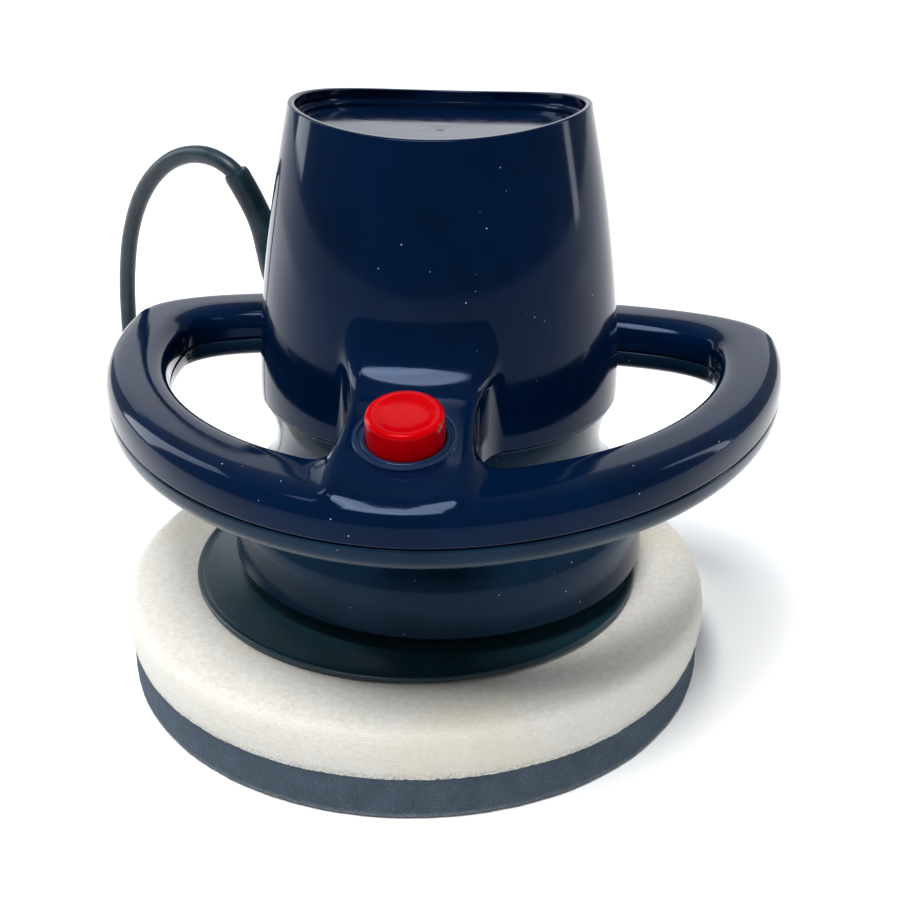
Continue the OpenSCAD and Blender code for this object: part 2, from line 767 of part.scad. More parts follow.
module strain_hole() {
    path = [[-54, 22, 126], relief_route[0], relief_route[1], relief_route[2]];
    swept(path, [for (p = path) relief_radii[0] + 0.3], 16, [0, 1, 0]);
}

module strain_relief() { color("darkslategray") swept(relief_route, relief_radii, 16, [0, 1, 0]); }

module supply_lead() {
    path = [relief_route[0], [-56, 22, 136], [-54, 21.5, 146], [-53.5, 21.5, clamp_z],
        [-53.5, 21.5, clamp_z + 14], [-51, 20.5, board_z - 14], [-44, 18, board_z - 2], [-33, 15, board_z + 6],
        [-22, 8, board_z + board_t + 6]];
    color("darkslategray") swept(path, [for (p = path) cord_d / 2 - 0.2], 10, [0, 1, 0]);
}

module cord_clamp() {
    color("black") rotate(clamp_at) difference() {
        translate([clamp_x - cord_d / 2 - 3, -10, clamp_z + 1]) cube([3, 20, 10]);
        for (y = [-7, 7]) translate([clamp_x - 12, y, clamp_z + 6]) rotate([0, 90, 0]) rod(1.6, 0, 20);
    }
}

module clamp_screws() {
    color("silver") rotate(clamp_at) for (y = [-7, 7])
        translate([clamp_x - cord_d / 2 - 3, y, clamp_z + 6]) rotate([0, 90, 0]) {
            rod(1.5, 0, 16);
            rod(2.8, -2, 2);
        }
}

// ---------- switch ----------

switch_top = -11;

module switch_bezel() {
    lip = bezel_r - 2.2;
    bore = button_r + 0.4;
    color("midnightblue") on_button() rotate_extrude($fn = 96)
        polygon([[bore, switch_top], [bezel_r, switch_top], [bezel_r, -0.4], [bezel_r - 0.8, 0.4], [lip, 0.4],
            [lip - 0.5, -1.4], [bore, -1.8]]);
}

module switch_body() {
    color("black") on_button() difference() {
        translate([-13, -13, switch_top - 14]) cube([26, 26, 14]);
        rod(3.4 + run_fit, switch_top - 8, 9);
    }
}

module switch_terminals() {
    color("goldenrod") on_button() for (x = [-6, 6]) translate([x - 0.4, -3, switch_top - 17.5]) cube([0.8, 6, 3.5]);
}

module switch_button() {
    edge = 2;
    color("crimson") on_button() rotate_extrude($fn = 96)
        polygon(concat([[0, button_h - 0.8], [button_r * 0.5, button_h - 0.5], [button_r - edge - 1, button_h]],
            arc([button_r - edge, button_h - edge], edge, 90, 0), [[button_r, -6], [button_r - 1.7, -6],
            [button_r - 1.7, -1], [3.4, -1], [3.4, switch_top - 3], [0, switch_top - 3]]));
}

module switch_spring() {
    color("silver") on_button() translate([0, 0, switch_top + 0.05]) coil_spring(6.5, 0.5, -1 - switch_top - 0.1, 5);
}

// ---------- mains cord ----------

floor_z = cord_d / 2;
coil_y = 198;
coil_lift = 1;         // the tie's strap under the turns
cord_route = [[-89, 36, 189.6], [-95.4, 40, 193], [-102.4, 44, 194.7], [-111.4, 50, 194], [-120.4, 55, 191],
    [-128.7, 60, 185.7], [-137.3, 66, 177.5], [-144.8, 72, 167.3], [-150.7, 78, 156.3], [-155.8, 84, 144.9],
    [-159.8, 90, 133.2], [-163.2, 95, 121.5], [-166.1, 100, 106.7], [-168, 103, 88], [-168, 106, 66],
    [-166, 109, 44], [-160, 114, 24], [-151, 120, 11], [-138, 127, 5], [-122, 136, floor_z],
    [-104, 143, floor_z], [-84, 147, floor_z], [-64, 149, floor_z], [-44, 149, floor_z + 0.5],
    [-24, 149, floor_z + coil_lift]];
plug_route = [[-36, 219, 15], [-41, 204, 19], [-40, 189, 22], [-35, 175, 24], [-26, 164, 24], [-14, 157, 24]];

module power_cord() { color("darkslategray") swept(cord_route, [for (p = cord_route) cord_d / 2], 10, [0, 1, 0]); }
module plug_lead() { color("darkslategray") swept(plug_route, [for (p = plug_route) cord_d / 2], 10, [0, 0, 1]); }

module cord_coil() {
    color("darkslategray") translate([0, coil_y, coil_lift]) rotate_extrude($fn = 96)
        translate([coil_r - 1.5 * cord_d, 0]) square([3 * cord_d, 2 * cord_d]);
}

module cord_tie() {
    strap = 0.9;
    w = 3 * cord_d + 0.4;
    h = 2 * cord_d + 0.3;
    color("black") translate([-4, coil_y + coil_r - w / 2, 0]) difference() {
        translate([0, -strap, 0]) cube([8, w + 2 * strap, coil_lift + h + strap]);
        translate([-1, 0, coil_lift - 0.05]) cube([10, w, h]);
    }
}

plug_z = 24;
plug_y = 156;

module on_plug() { translate([-14, plug_y, plug_z]) rotate([0, 90, 0]) children(); }

module plug_body() {
    color("darkslategray") on_plug() {
        cylinder(r1 = 5.5, r2 = 7, h = 14, $fn = 48);
        intersection() {
            translate([0, 0, 12]) linear_extrude(32) square([14, 34], center = true);
            translate([0, 0, 12]) cylinder(r1 = 8, r2 = 24, h = 20.1, $fn = 64);
        }
        translate([0, 0, 32]) linear_extrude(12) square([14, 34], center = true);
    }
}

module plug_pins() {
    color("silver") on_plug() for (s = [-1, 1]) translate([0, 9.5 * s, 44]) cylinder(r = plug_pin_d / 2, h = plug_pin_len, $fn = 48);
}

face_foam();
pale_foam();
hook_disc();
backing_plate();
pad_bearing();
bearing_circlip();
motor_shaft();
armature_core();
armature_windings();
commutator();
fan();
eccentric_hub();
hub_set_screw();
eccentric_pin();
pad_washer();
pad_bolt();
lower_housing();
upper_housing();
top_cap();
ring_screws();
motor_plate();
motor_plate_screws();
motor_screws();
drive_end_cap();
drive_end_bearing();
motor_can();
motor_magnets();
brush_end_cap();
brush_end_bearing();
motor_tie_bolts();
brush_holders();
carbon_brushes();
brush_springs();
brush_caps();
rectifier_board();
board_parts();
board_standoffs();
internal_leads();
supply_lead();
cord_clamp();
clamp_screws();
strain_relief();
switch_bezel();
switch_body();
switch_terminals();
switch_button();
switch_spring();
power_cord();
cord_coil();
plug_lead();
cord_tie();
plug_body();
plug_pins();
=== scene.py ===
"""An orbital car polisher: glossy navy shells, a two-layer pad, a red push button and a mains cord.

Everything is in metres in the CAD frame: the motor's axis is Z, the pad's face is on z = 0 and the switch
faces -Y.
Sizes below are in millimetres where a name or a comment says so, and MM turns them to metres.
"""
import json
import math

import bpy
import numpy as np
from mathutils import Matrix, Vector


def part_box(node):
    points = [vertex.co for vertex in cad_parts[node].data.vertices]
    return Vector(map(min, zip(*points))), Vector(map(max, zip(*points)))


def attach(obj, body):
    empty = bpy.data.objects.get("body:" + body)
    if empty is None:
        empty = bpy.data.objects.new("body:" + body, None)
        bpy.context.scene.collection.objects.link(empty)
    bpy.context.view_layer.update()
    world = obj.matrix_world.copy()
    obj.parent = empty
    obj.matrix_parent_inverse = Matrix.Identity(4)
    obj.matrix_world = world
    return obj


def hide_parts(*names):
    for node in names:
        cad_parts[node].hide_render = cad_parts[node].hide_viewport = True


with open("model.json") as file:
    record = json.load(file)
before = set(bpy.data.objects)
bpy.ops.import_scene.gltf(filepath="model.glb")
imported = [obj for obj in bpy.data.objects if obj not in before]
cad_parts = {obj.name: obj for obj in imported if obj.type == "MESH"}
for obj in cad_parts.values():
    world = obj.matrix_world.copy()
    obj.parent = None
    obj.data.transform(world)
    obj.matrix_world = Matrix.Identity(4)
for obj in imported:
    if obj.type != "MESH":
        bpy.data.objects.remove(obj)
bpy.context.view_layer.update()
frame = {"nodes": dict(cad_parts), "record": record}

MM = 0.001


def low(node, axis):
    """A node's lowest place along an axis, in millimetres."""
    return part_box(node)[0][axis] / MM


def high(node, axis):
    """A node's highest place along an axis, in millimetres."""
    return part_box(node)[1][axis] / MM


# ---------- places that come from the frame, in millimetres ----------

RING_UP, RING_DOWN = 14.0, 10.4   # the grip ring's crown over the seam, and its belly under it
seam_z = low("upper_housing", 2)
ring_half_w = high("upper_housing", 0)
ring_front = -low("upper_housing", 1)
ring_low_z = seam_z - RING_DOWN
skirt_z = low("lower_housing", 2)
pad_x = (low("face_foam", 0) + high("face_foam", 0)) / 2
pad_y = (low("face_foam", 1) + high("face_foam", 1)) / 2
pad_r = (high("face_foam", 0) - low("face_foam", 0)) / 2
pale_low = low("pale_foam", 2)
pale_top = high("pale_foam", 2)
plate_r = (high("backing_plate", 0) - low("backing_plate", 0)) / 2
plate_low = low("backing_plate", 2)
cord_r = 3.75            # a 7.5 mm lead

# ---------- camera ----------


def add_camera():
    """A 48 mm lens a little above the grip ring, looking down 25 degrees."""
    place = Vector((47.6, -452.8, 294.2)) * MM
    yaw, pitch, roll = math.radians(-5.34), math.radians(24.86), math.radians(0.49)
    forward = Vector((math.sin(yaw) * math.cos(pitch), math.cos(yaw) * math.cos(pitch), -math.sin(pitch)))
    side = Vector((math.cos(yaw), -math.sin(yaw), 0))
    up = side.cross(forward)
    right = math.cos(roll) * side + math.sin(roll) * up
    top = -math.sin(roll) * side + math.cos(roll) * up
    data = bpy.data.cameras.new("camera")
    data.lens = 47.84
    data.sensor_width = 36
    data.clip_start = 0.01
    camera = bpy.data.objects.new("camera", data)
    turn = Matrix((right, top, -forward)).transposed().to_4x4()
    camera.matrix_world = Matrix.Translation(place) @ turn
    bpy.context.scene.collection.objects.link(camera)
    bpy.context.scene.camera = camera


add_camera()

# ---------- making pieces ----------


def clear_selection():
    if bpy.context.object and bpy.context.object.mode != "OBJECT":
        bpy.ops.object.mode_set(mode="OBJECT")
    bpy.ops.object.select_all(action="DESELECT")


def select_only(piece):
    clear_selection()
    piece.select_set(True)
    bpy.context.view_layer.objects.active = piece


def mesh_piece(name, points, faces):
    """A new piece from points in millimetres."""
    mesh = bpy.data.meshes.new(name)
    mesh.from_pydata([[float(c) * MM for c in p] for p in points], [], faces)
    piece = bpy.data.objects.new(name, mesh)
    bpy.context.scene.collection.objects.link(piece)
    select_only(piece)
    return piece


def outward(piece):
    """Merges doubles and turns every face outwards."""
    select_only(piece)
    bpy.ops.object.mode_set(mode="EDIT")
    bpy.ops.mesh.select_all(action="SELECT")
    bpy.ops.mesh.remove_doubles(threshold=1e-6)
    bpy.ops.mesh.normals_make_consistent(inside=False)
    bpy.ops.object.mode_set(mode="OBJECT")


def apply_modifier(piece, kind, **settings):
    select_only(piece)
    mod = piece.modifiers.new(kind.lower(), kind)
    for key, value in settings.items():
        setattr(mod, key, value)
    bpy.ops.object.modifier_apply(modifier=mod.name)


def smooth(piece, angle=35):
    select_only(piece)
    bpy.ops.object.shade_smooth_by_angle(angle=math.radians(angle))


def corner(cx, cz, r, a0, a1, steps=5):
    """Points on an arc of a profile, from angle a0 to a1 in degrees."""
    angles = [math.radians(a0 + (a1 - a0) * i / steps) for i in range(steps + 1)]
    return [(cx + r * math.cos(a), cz + r * math.sin(a)) for a in angles]


def turned(name, profile, place=None, steps=128, angle=35):
    """A piece turned on a lathe: the profile of (radius, height) is spun about Z, then put in place."""
    points = [(r, 0, z) for r, z in profile]
    piece = mesh_piece(name, points, [])
    mesh = piece.data
    mesh.edges.add(len(points) - 1)
    for i, edge in enumerate(mesh.edges):
        edge.vertices = (i, i + 1)
    select_only(piece)
    bpy.ops.object.mode_set(mode="EDIT")
    bpy.ops.mesh.select_all(action="SELECT")
    bpy.ops.mesh.spin(steps=steps, angle=2 * math.pi, center=(0, 0, 0), axis=(0, 0, 1))
    bpy.ops.object.mode_set(mode="OBJECT")
    outward(piece)
    if place is not None:
        piece.data.transform(place)
    smooth(piece, angle)
    return piece


def tube_frames(path):
    """The side and up directions along a path, carried from point to point without twist."""
    path = np.asarray(path, float)
    along = np.gradient(path, axis=0)
    along /= np.linalg.norm(along, axis=1)[:, None]
    first = np.cross(along[0], (0.3, 1, 0.2))
    sides = [first / np.linalg.norm(first)]
    for t in along[1:]:
        s = sides[-1] - t * np.dot(sides[-1], t)
        sides.append(s / np.linalg.norm(s))
    sides = np.array(sides)
    return sides, np.cross(along, sides)


def swept(name, path, radii, sides=24):
    """A round solid along a path, with a radius at each point."""
    across, up = tube_frames(path)
    points, faces = [], []
    for k, p in enumerate(path):
        for j in range(sides):
            a = 2 * math.pi * j / sides
            points.append(np.array(p) + radii[k] * (math.cos(a) * across[k] + math.sin(a) * up[k]))
    for k in range(len(path) - 1):
        for j in range(sides):
            a, b = k * sides + j, k * sides + (j + 1) % sides
            faces.append((a, b, b + sides, a + sides))
    faces += [tuple(range(sides))[::-1], tuple(range(len(points) - sides, len(points)))]
    piece = mesh_piece(name, points, faces)
    outward(piece)
    smooth(piece, 50)
    return piece


def rounded(route, step):
    """A smooth line through the route's points, with a point about every step millimetres."""
    route = [np.array(p, float) for p in route]
    padded = [2 * route[0] - route[1]] + route + [2 * route[-1] - route[-2]]
    line = []
    for p0, p1, p2, p3 in zip(padded, padded[1:], padded[2:], padded[3:]):
        count = max(2, round(np.linalg.norm(p2 - p1) / step))
        for t in np.arange(count) / count:
            line.append(0.5 * (2 * p1 + (p2 - p0) * t + (2 * p0 - 5 * p1 + 4 * p2 - p3) * t**2
                               + (3 * p1 - p0 - 3 * p2 + p3) * t**3))
    return line + [route[-1]]


# ---------- the mains cord ----------

# The route out of the sleeve, over and down behind the ring, and along the floor to the coil.
CORD_ROUTE = [
    (-87, 36.8, 186), (-89.4, 36.3, 190), (-95.4, 40, 193), (-102.4, 44, 194.7), (-111.4, 50, 194),
    (-120.4, 55, 191), (-128.7, 60, 185.7), (-137.3, 66, 177.5), (-144.8, 72, 167.3), (-150.7, 78, 156.3),
    (-155.8, 84, 144.9), (-159.8, 90, 133.2), (-163.2, 95, 121.5), (-166.1, 100, 106.7), (-168, 103, 88),
    (-168, 106, 66), (-166, 109, 44), (-160, 114, 24), (-151, 120, 11), (-138, 127, 5), (-122, 136, 3.75),
    (-104, 143, 3.75), (-84, 147, 3.75), (-64, 149, 3.75), (-44, 149, 4.1), (-24, 148.8, 4.75)]
PLUG_ROUTE = [(-40, 188, 23), (-35, 175, 24.3), (-26, 163, 24), (-16, 157.5, 24), (-8, 156, 24)]
COIL_CENTRE = (0, 198)
COIL_OUTER = 49.5        # the outermost turn's own radius
TURN_STEPS = 18          # points in one turn


def ease(x, a, b):
    """A smooth step from 0 at a to 1 at b."""
    t = np.clip((x - a) / (b - a), 0, 1)
    return t * t * (3 - 2 * t)


def coil_turns():
    """Two and a half turns inwards on the floor, two outwards on top, and a rise towards the plug."""
    pitch = 2 * cord_r
    line = []
    for i in range(1, int(4.75 * TURN_STEPS) + 1):
        turn = i / TURN_STEPS
        angle = math.radians(-90 + 360 * turn)
        layers = ease(turn, 1.95, 2.35) + ease(turn, 4.52, 4.75)
        r = COIL_OUTER - pitch * min(turn, 2) + pitch * min(max(turn - 2.5, 0), 2)
        r -= 7 * ease(turn, 4.6, 4.76)
        z = 1 + cord_r + pitch * layers
        r *= 1.02             # the curve runs a little inside its points
        line.append((COIL_CENTRE[0] + r * math.cos(angle), COIL_CENTRE[1] + r * math.sin(angle), z))
    return line


def make_cord():
    """The whole cord as one smooth curve from the sleeve to the plug."""
    line = CORD_ROUTE + coil_turns() + PLUG_ROUTE
    data = bpy.data.curves.new("mains_cord", "CURVE")
    data.dimensions = "3D"
    data.bevel_depth = cord_r * MM
    data.bevel_resolution = 5
    data.resolution_u = 5
    data.use_fill_caps = True
    spline = data.splines.new("NURBS")
    spline.points.add(len(line) - 1)
    for point, p in zip(spline.points, line):
        point.co = (*(Vector(p) * MM), 1)
    spline.order_u = 4
    spline.use_endpoint_u = True
    piece = bpy.data.objects.new("mains_cord", data)
    bpy.context.scene.collection.objects.link(piece)
    return piece


def curve_length(piece):
    """The length of a curve's line, in metres, from a copy that has no thickness."""
    line = piece.data.copy()
    line.bevel_depth = 0
    bare = bpy.data.objects.new("bare_line", line)
    mesh = bpy.data.meshes.new_from_object(bare)
    points = np.array([v.co for v in mesh.vertices])
    bpy.data.meshes.remove(mesh)
    bpy.data.objects.remove(bare)
    bpy.data.curves.remove(line)
    return float(np.linalg.norm(np.diff(points, axis=0), axis=1).sum())


mains_cord = make_cord()
cord_length = curve_length(mains_cord)

# ---------- the shape of the two shells, as distances in millimetres ----------

# Each loop: half its width, where its widest place is, its front and back, and how square both ends are.
OUTER_LOOP = (ring_half_w, 34, ring_front, 81.5, 1.9, 2.45)
INNER_LOOP = (113, 22, 105, 51, 1.95, 2.6)
RING_HALF_BAND = 14      # half of the ring's width between the loops, about
BRIDGE_HALF_W = 21.7
BRIDGE_TILT = math.radians(14.1)
BRIDGE_FRONT = 4.0       # how far behind the ring's front the bridge starts
BRIDGE_BACK = -58        # where the blank of the bridge ends, inside the tower
BUTTON_Y = -102.7
TOWER_FOOT_R, TOWER_TOP_R, TOWER_H = 71.5, 56.9, 107.5
TOP_Z = seam_z + TOWER_H
NECK_Z = TOP_Z - 14      # where the separately turned rim of the tower starts
DISH = 625               # the tower's top rises by x * x / DISH towards its sides
SKIRT_R, SKIRT_LEAN, SKIRT_H = 85.8, 1.1, 19.2
SHOULDER = 152.86        # radius plus height, anywhere on the shoulder's 45 degree slope
NECK_R, NECK_FLARE, NECK_FLARE_H = 66, 5, 17
WALL = 2.8
GAP = 0.25               # half of the dark line between the two shells
LIP, LIP_ROUND = 0.9, 0.45   # how high and how strongly the edge at the seam is rounded in


def soft_min(a, b, k):
    """The smaller of two distances, with a fillet about k wide where they meet."""
    h = np.maximum(k - np.abs(a - b), 0) / k
    return np.minimum(a, b) - h * h * k / 4


def soft_max(a, b, k):
    return -soft_min(-a, -b, k)


def from_loop(x, y, half_w, centre, front, back, n_front, n_back):
    """How far a point is outside an egg-shaped loop, flatter at the back; negative inside."""
    ahead = y < centre
    reach = np.where(ahead, centre + front, back - centre)
    n = np.where(ahead, n_front, n_back)
    u = np.abs(x) / half_w
    v = np.abs(y - centre) / reach
    s = np.maximum(u**n + v**n, 1e-9)
    size = s ** (1 / n)
    slope = s ** (1 / n - 1) * np.hypot(u ** (n - 1) / half_w, v ** (n - 1) / reach)
    return (size - 1) / np.maximum(slope, 0.002)


def outer_loop(x, y):
    return from_loop(x, y, *OUTER_LOOP)


def inner_loop(x, y):
    return from_loop(x, y, *INNER_LOOP)


def from_ring(p, height, bow=3.2):
    """Distance to the ring's crown, an arch from the inner loop to the outer one."""
    outside, inside = outer_loop(p[:, 0], p[:, 1]), inner_loop(p[:, 0], p[:, 1])
    across = (inside + outside) / np.maximum(inside - outside, 4)
    rise = (p[:, 2] - seam_z) / height
    rise = np.where(rise > 0, rise, 0) if height > 0 else rise
    q = (np.abs(across) ** bow + np.abs(rise) ** bow) ** (1 / bow)
    return (q - 1) * RING_HALF_BAND


def tower_r(z):
    """The tower's radius at a height: straight for 4 mm at its foot, then drawn in more and more."""
    share = np.maximum(z - seam_z - 4, 0) / (TOWER_H - 4)
    return TOWER_FOOT_R - (TOWER_FOOT_R - TOWER_TOP_R) * share ** 1.6


def from_tower(p):
    return (np.hypot(p[:, 0], p[:, 1]) - tower_r(p[:, 2])) * 0.985


def from_bridge(p):
    """Distance to the sloping bar that carries the switch, with rounded upper edges."""
    over = p[:, 2] - (seam_z + RING_UP) - (p[:, 1] + ring_front - BRIDGE_FRONT) * math.tan(BRIDGE_TILT)
    over = over * math.cos(BRIDGE_TILT) + 1.2 * ease(-p[:, 1], 106, 138)   # a little lower at the front
    r = 2.4
    qx, qz = np.abs(p[:, 0]) - (BRIDGE_HALF_W - r), over + r
    bar = np.hypot(np.maximum(qx, 0), np.maximum(qz, 0)) + np.minimum(np.maximum(qx, qz), 0) - r
    bar = np.maximum(bar, p[:, 1] + 30)        # it ends inside the tower
    return soft_max(bar, outer_loop(p[:, 0], p[:, 1]) + 5, 4)


def upper_shape(p):
    """Distance to the upper shell: ring and bridge with a flare between, then the tower with a saddle."""
    side = ease(np.abs(p[:, 0]), 3, 24) * ease(p[:, 1], -144, -98)
    deck = soft_min(from_ring(p, RING_UP, 3.6), from_bridge(p), 1.5 + 11 * side)
    saddle = ease(-p[:, 1], 35, 55) * (1 - ease(np.abs(p[:, 0]), 22, 34))
    shape = soft_min(deck, from_tower(p), 6 + 12 * saddle)
    lip = np.maximum(seam_z + GAP + LIP - p[:, 2], 0)
    return shape + LIP_ROUND * lip * lip


def from_box(p, low_corner, high_corner, r):
    """Distance to a box with edges rounded to r."""
    mid, half = (np.add(low_corner, high_corner)) / 2, np.subtract(high_corner, low_corner) / 2 - r
    q = np.abs(p - mid) - half
    return np.linalg.norm(np.maximum(q, 0), axis=1) + np.minimum(q.max(1), 0) - r


def lower_shape(p):
    """Distance to the lower shell: skirt, shoulder, neck, the ring's belly and the room under the bridge."""
    r, z = np.hypot(p[:, 0], p[:, 1]), p[:, 2]
    skirt = r - (SKIRT_R - SKIRT_LEAN * (z - skirt_z) / SKIRT_H)
    body = soft_max(skirt, (r + z - SHOULDER) / math.sqrt(2), 3.5)
    flare = np.clip((z - seam_z + NECK_FLARE_H) / NECK_FLARE_H, 0, 1)
    neck = r - (NECK_R + NECK_FLARE * flare ** 2)
    body = soft_min(body, neck, 7)
    ring = from_ring(p * (1, 1, -1) + (0, 0, 2 * seam_z), RING_DOWN)
    trough = from_box(p, (-BRIDGE_HALF_W, -ring_front + 14, ring_low_z),
                      (BRIDGE_HALF_W, BRIDGE_BACK, 140), 2.5)
    shape = soft_min(soft_min(ring, trough, 5), body, 4)
    lip = np.maximum(p[:, 2] - (seam_z - GAP - LIP), 0)
    return shape + LIP_ROUND * lip * lip


def slope_of(shape, p, step=0.02):
    """The direction in which the distance to a shape grows, at each point."""
    cols = [(shape(p + d) - shape(p - d)) / (2 * step) for d in np.eye(3) * step]
    return np.stack(cols, axis=1)


def corners_of(piece):
    co = np.empty(len(piece.data.vertices) * 3)
    piece.data.vertices.foreach_get("co", co)
    return co.reshape(-1, 3) / MM


def put_corners(piece, p):
    piece.data.vertices.foreach_set("co", (p * MM).ravel())
    piece.data.update()


def settle(piece, shape, rounds=5, flat=()):
    """Moves every corner onto the shape; a corner on a flat cut, at a height in flat, stays level."""
    p = corners_of(piece)
    for _ in range(rounds):
        slope = slope_of(shape, p)
        for z in flat:
            slope[np.abs(p[:, 2] - z) < 0.01, 2] = 0
        size = np.maximum((slope**2).sum(1), 0.05)
        move = (shape(p) / size)[:, None] * slope
        p -= np.clip(move, -3, 3)
    put_corners(piece, p)


def shade_by(piece, shape, wall):
    """Gives the moulding the shape's own normals, outside and inside, and plain ones at its cut edges."""
    smooth(piece, 30)
    mesh = piece.data
    count = len(mesh.loops)
    normals = np.empty(count * 3)
    mesh.corner_normals.foreach_get("vector", normals)
    normals = normals.reshape(-1, 3)
    vertex = np.empty(count, int)
    mesh.loops.foreach_get("vertex_index", vertex)
    face_normals = np.empty(len(mesh.polygons) * 3)
    mesh.polygons.foreach_get("normal", face_normals)
    sizes = np.empty(len(mesh.polygons), int)
    mesh.polygons.foreach_get("loop_total", sizes)
    facing = np.repeat(face_normals.reshape(-1, 3), sizes, axis=0)
    p = corners_of(piece)
    slope = slope_of(shape, p)
    slope /= np.maximum(np.linalg.norm(slope, axis=1), 1e-6)[:, None]
    away = shape(p)
    on_skin = (np.abs(away[vertex]) < 0.25) & ((facing * slope[vertex]).sum(1) > 0.75)
    on_back = (np.abs(away[vertex] + wall) < 0.8) & ((facing * -slope[vertex]).sum(1) > 0.8)
    normals[on_skin] = slope[vertex][on_skin]
    normals[on_back] = -slope[vertex][on_back]
    mesh.normals_split_custom_set(normals.tolist())


def cut_flat(piece, z, keep):
    """Cuts the piece at a height and keeps what is over or under it, or both with edges between them."""
    select_only(piece)
    bpy.ops.object.mode_set(mode="EDIT")
    bpy.ops.mesh.select_all(action="SELECT")
    bpy.ops.mesh.bisect(plane_co=(0, 0, z * MM), plane_no=(0, 0, 1), clear_inner=keep == "over",
                        clear_outer=keep == "under", use_fill=False, threshold=1e-7)
    bpy.ops.object.mode_set(mode="OBJECT")


def ring_blank(name, up, down):
    """A plain solid of about the ring's size."""
    stations, steps = 72, 12
    points, faces = [], []
    for k in range(stations):
        u = 2 * math.pi * k / stations
        c, s = math.cos(u), math.sin(u)

        def on_loop(half_w, centre, front, back, n_front, n_back):
            n = n_front if s < 0 else n_back
            reach = centre + front if s < 0 else back - centre
            return Vector((half_w * math.copysign(abs(c) ** (2 / n), c),
                           centre + reach * math.copysign(abs(s) ** (2 / n), s), 0))
        out, inn = on_loop(*OUTER_LOOP), on_loop(*INNER_LOOP)
        for j in range(2 * steps):
            a = math.pi * j / steps
            across = math.copysign(abs(math.cos(a)) ** 0.62, math.cos(a))
            lift = math.copysign(abs(math.sin(a)) ** 0.62, math.sin(a))
            p = (out + inn) / 2 + (out - inn) / 2 * across
            points.append((p.x, p.y, seam_z + (up if lift > 0 else down) * lift))
    for k in range(stations):
        for j in range(2 * steps):
            a, b = k * 2 * steps + j, k * 2 * steps + (j + 1) % (2 * steps)
            n = (k + 1) % stations * 2 * steps - k * 2 * steps
            faces.append((a, a + n, b + n, b))
    piece = mesh_piece(name, points, faces)
    outward(piece)
    return piece


def bar_blank(name, front_z, back_z, low_z):
    """A plain bar from the tower to the ring's front."""
    w, front_y = BRIDGE_HALF_W - 0.5, -ring_front + BRIDGE_FRONT
    points = [(x, y, z) for y, top_z in ((front_y, front_z), (BRIDGE_BACK, back_z))
              for z in (low_z, top_z) for x in (-w, w)]
    faces = [(0, 1, 3, 2), (4, 6, 7, 5), (0, 4, 5, 1), (2, 3, 7, 6), (0, 2, 6, 4), (1, 5, 7, 3)]
    piece = mesh_piece(name, points, faces)
    outward(piece)
    return piece


def fuse(name, blanks, voxel):
    """Joins overlapping solids into one skin of even squares."""
    clear_selection()
    for blank in blanks:
        blank.select_set(True)
    bpy.context.view_layer.objects.active = blanks[0]
    bpy.ops.object.join()
    piece = blanks[0]
    piece.name = piece.data.name = name
    apply_modifier(piece, "REMESH", mode="VOXEL", voxel_size=voxel * MM)
    return piece


def cut_away(piece, tool):
    select_only(piece)
    apply_modifier(piece, "BOOLEAN", operation="DIFFERENCE", object=tool, solver="MANIFOLD")
    bpy.data.objects.remove(tool)


def block(name, low_corner, high_corner):
    middle = [(a + b) / 2 * MM for a, b in zip(low_corner, high_corner)]
    bpy.ops.mesh.primitive_cube_add(size=1, location=middle)
    piece = bpy.context.object
    piece.name = name
    piece.scale = [(b - a) * MM for a, b in zip(low_corner, high_corner)]
    bpy.ops.object.transform_apply(location=True, rotation=True, scale=True)
    return piece


# The switch's own place: z is the normal of the bridge's top, at the button's middle.
button_z = seam_z + RING_UP + (ring_front - BRIDGE_FRONT + BUTTON_Y) * math.tan(BRIDGE_TILT)
SWITCH_PLACE = (Matrix.Translation(Vector((0, BUTTON_Y, button_z)) * MM)
                @ Matrix.Rotation(BRIDGE_TILT, 4, "X"))
WELL_R = 16.6            # the hole for the collar
VENTS, VENT_PITCH, VENT_W = 7, 9.0, 3.0   # the slots in the tower's back
PAD_PLACE = Matrix.Translation(Vector((pad_x, pad_y, 0)) * MM)
PLUG_AT = (-14, 156, 24)      # the end of the plug's tail; the plug points along x, over the coil
PIN_APART = 19                # between the middles of the two pins


def thicken(piece, wall):
    apply_modifier(piece, "SOLIDIFY", thickness=wall * MM, offset=-1, use_rim=True)


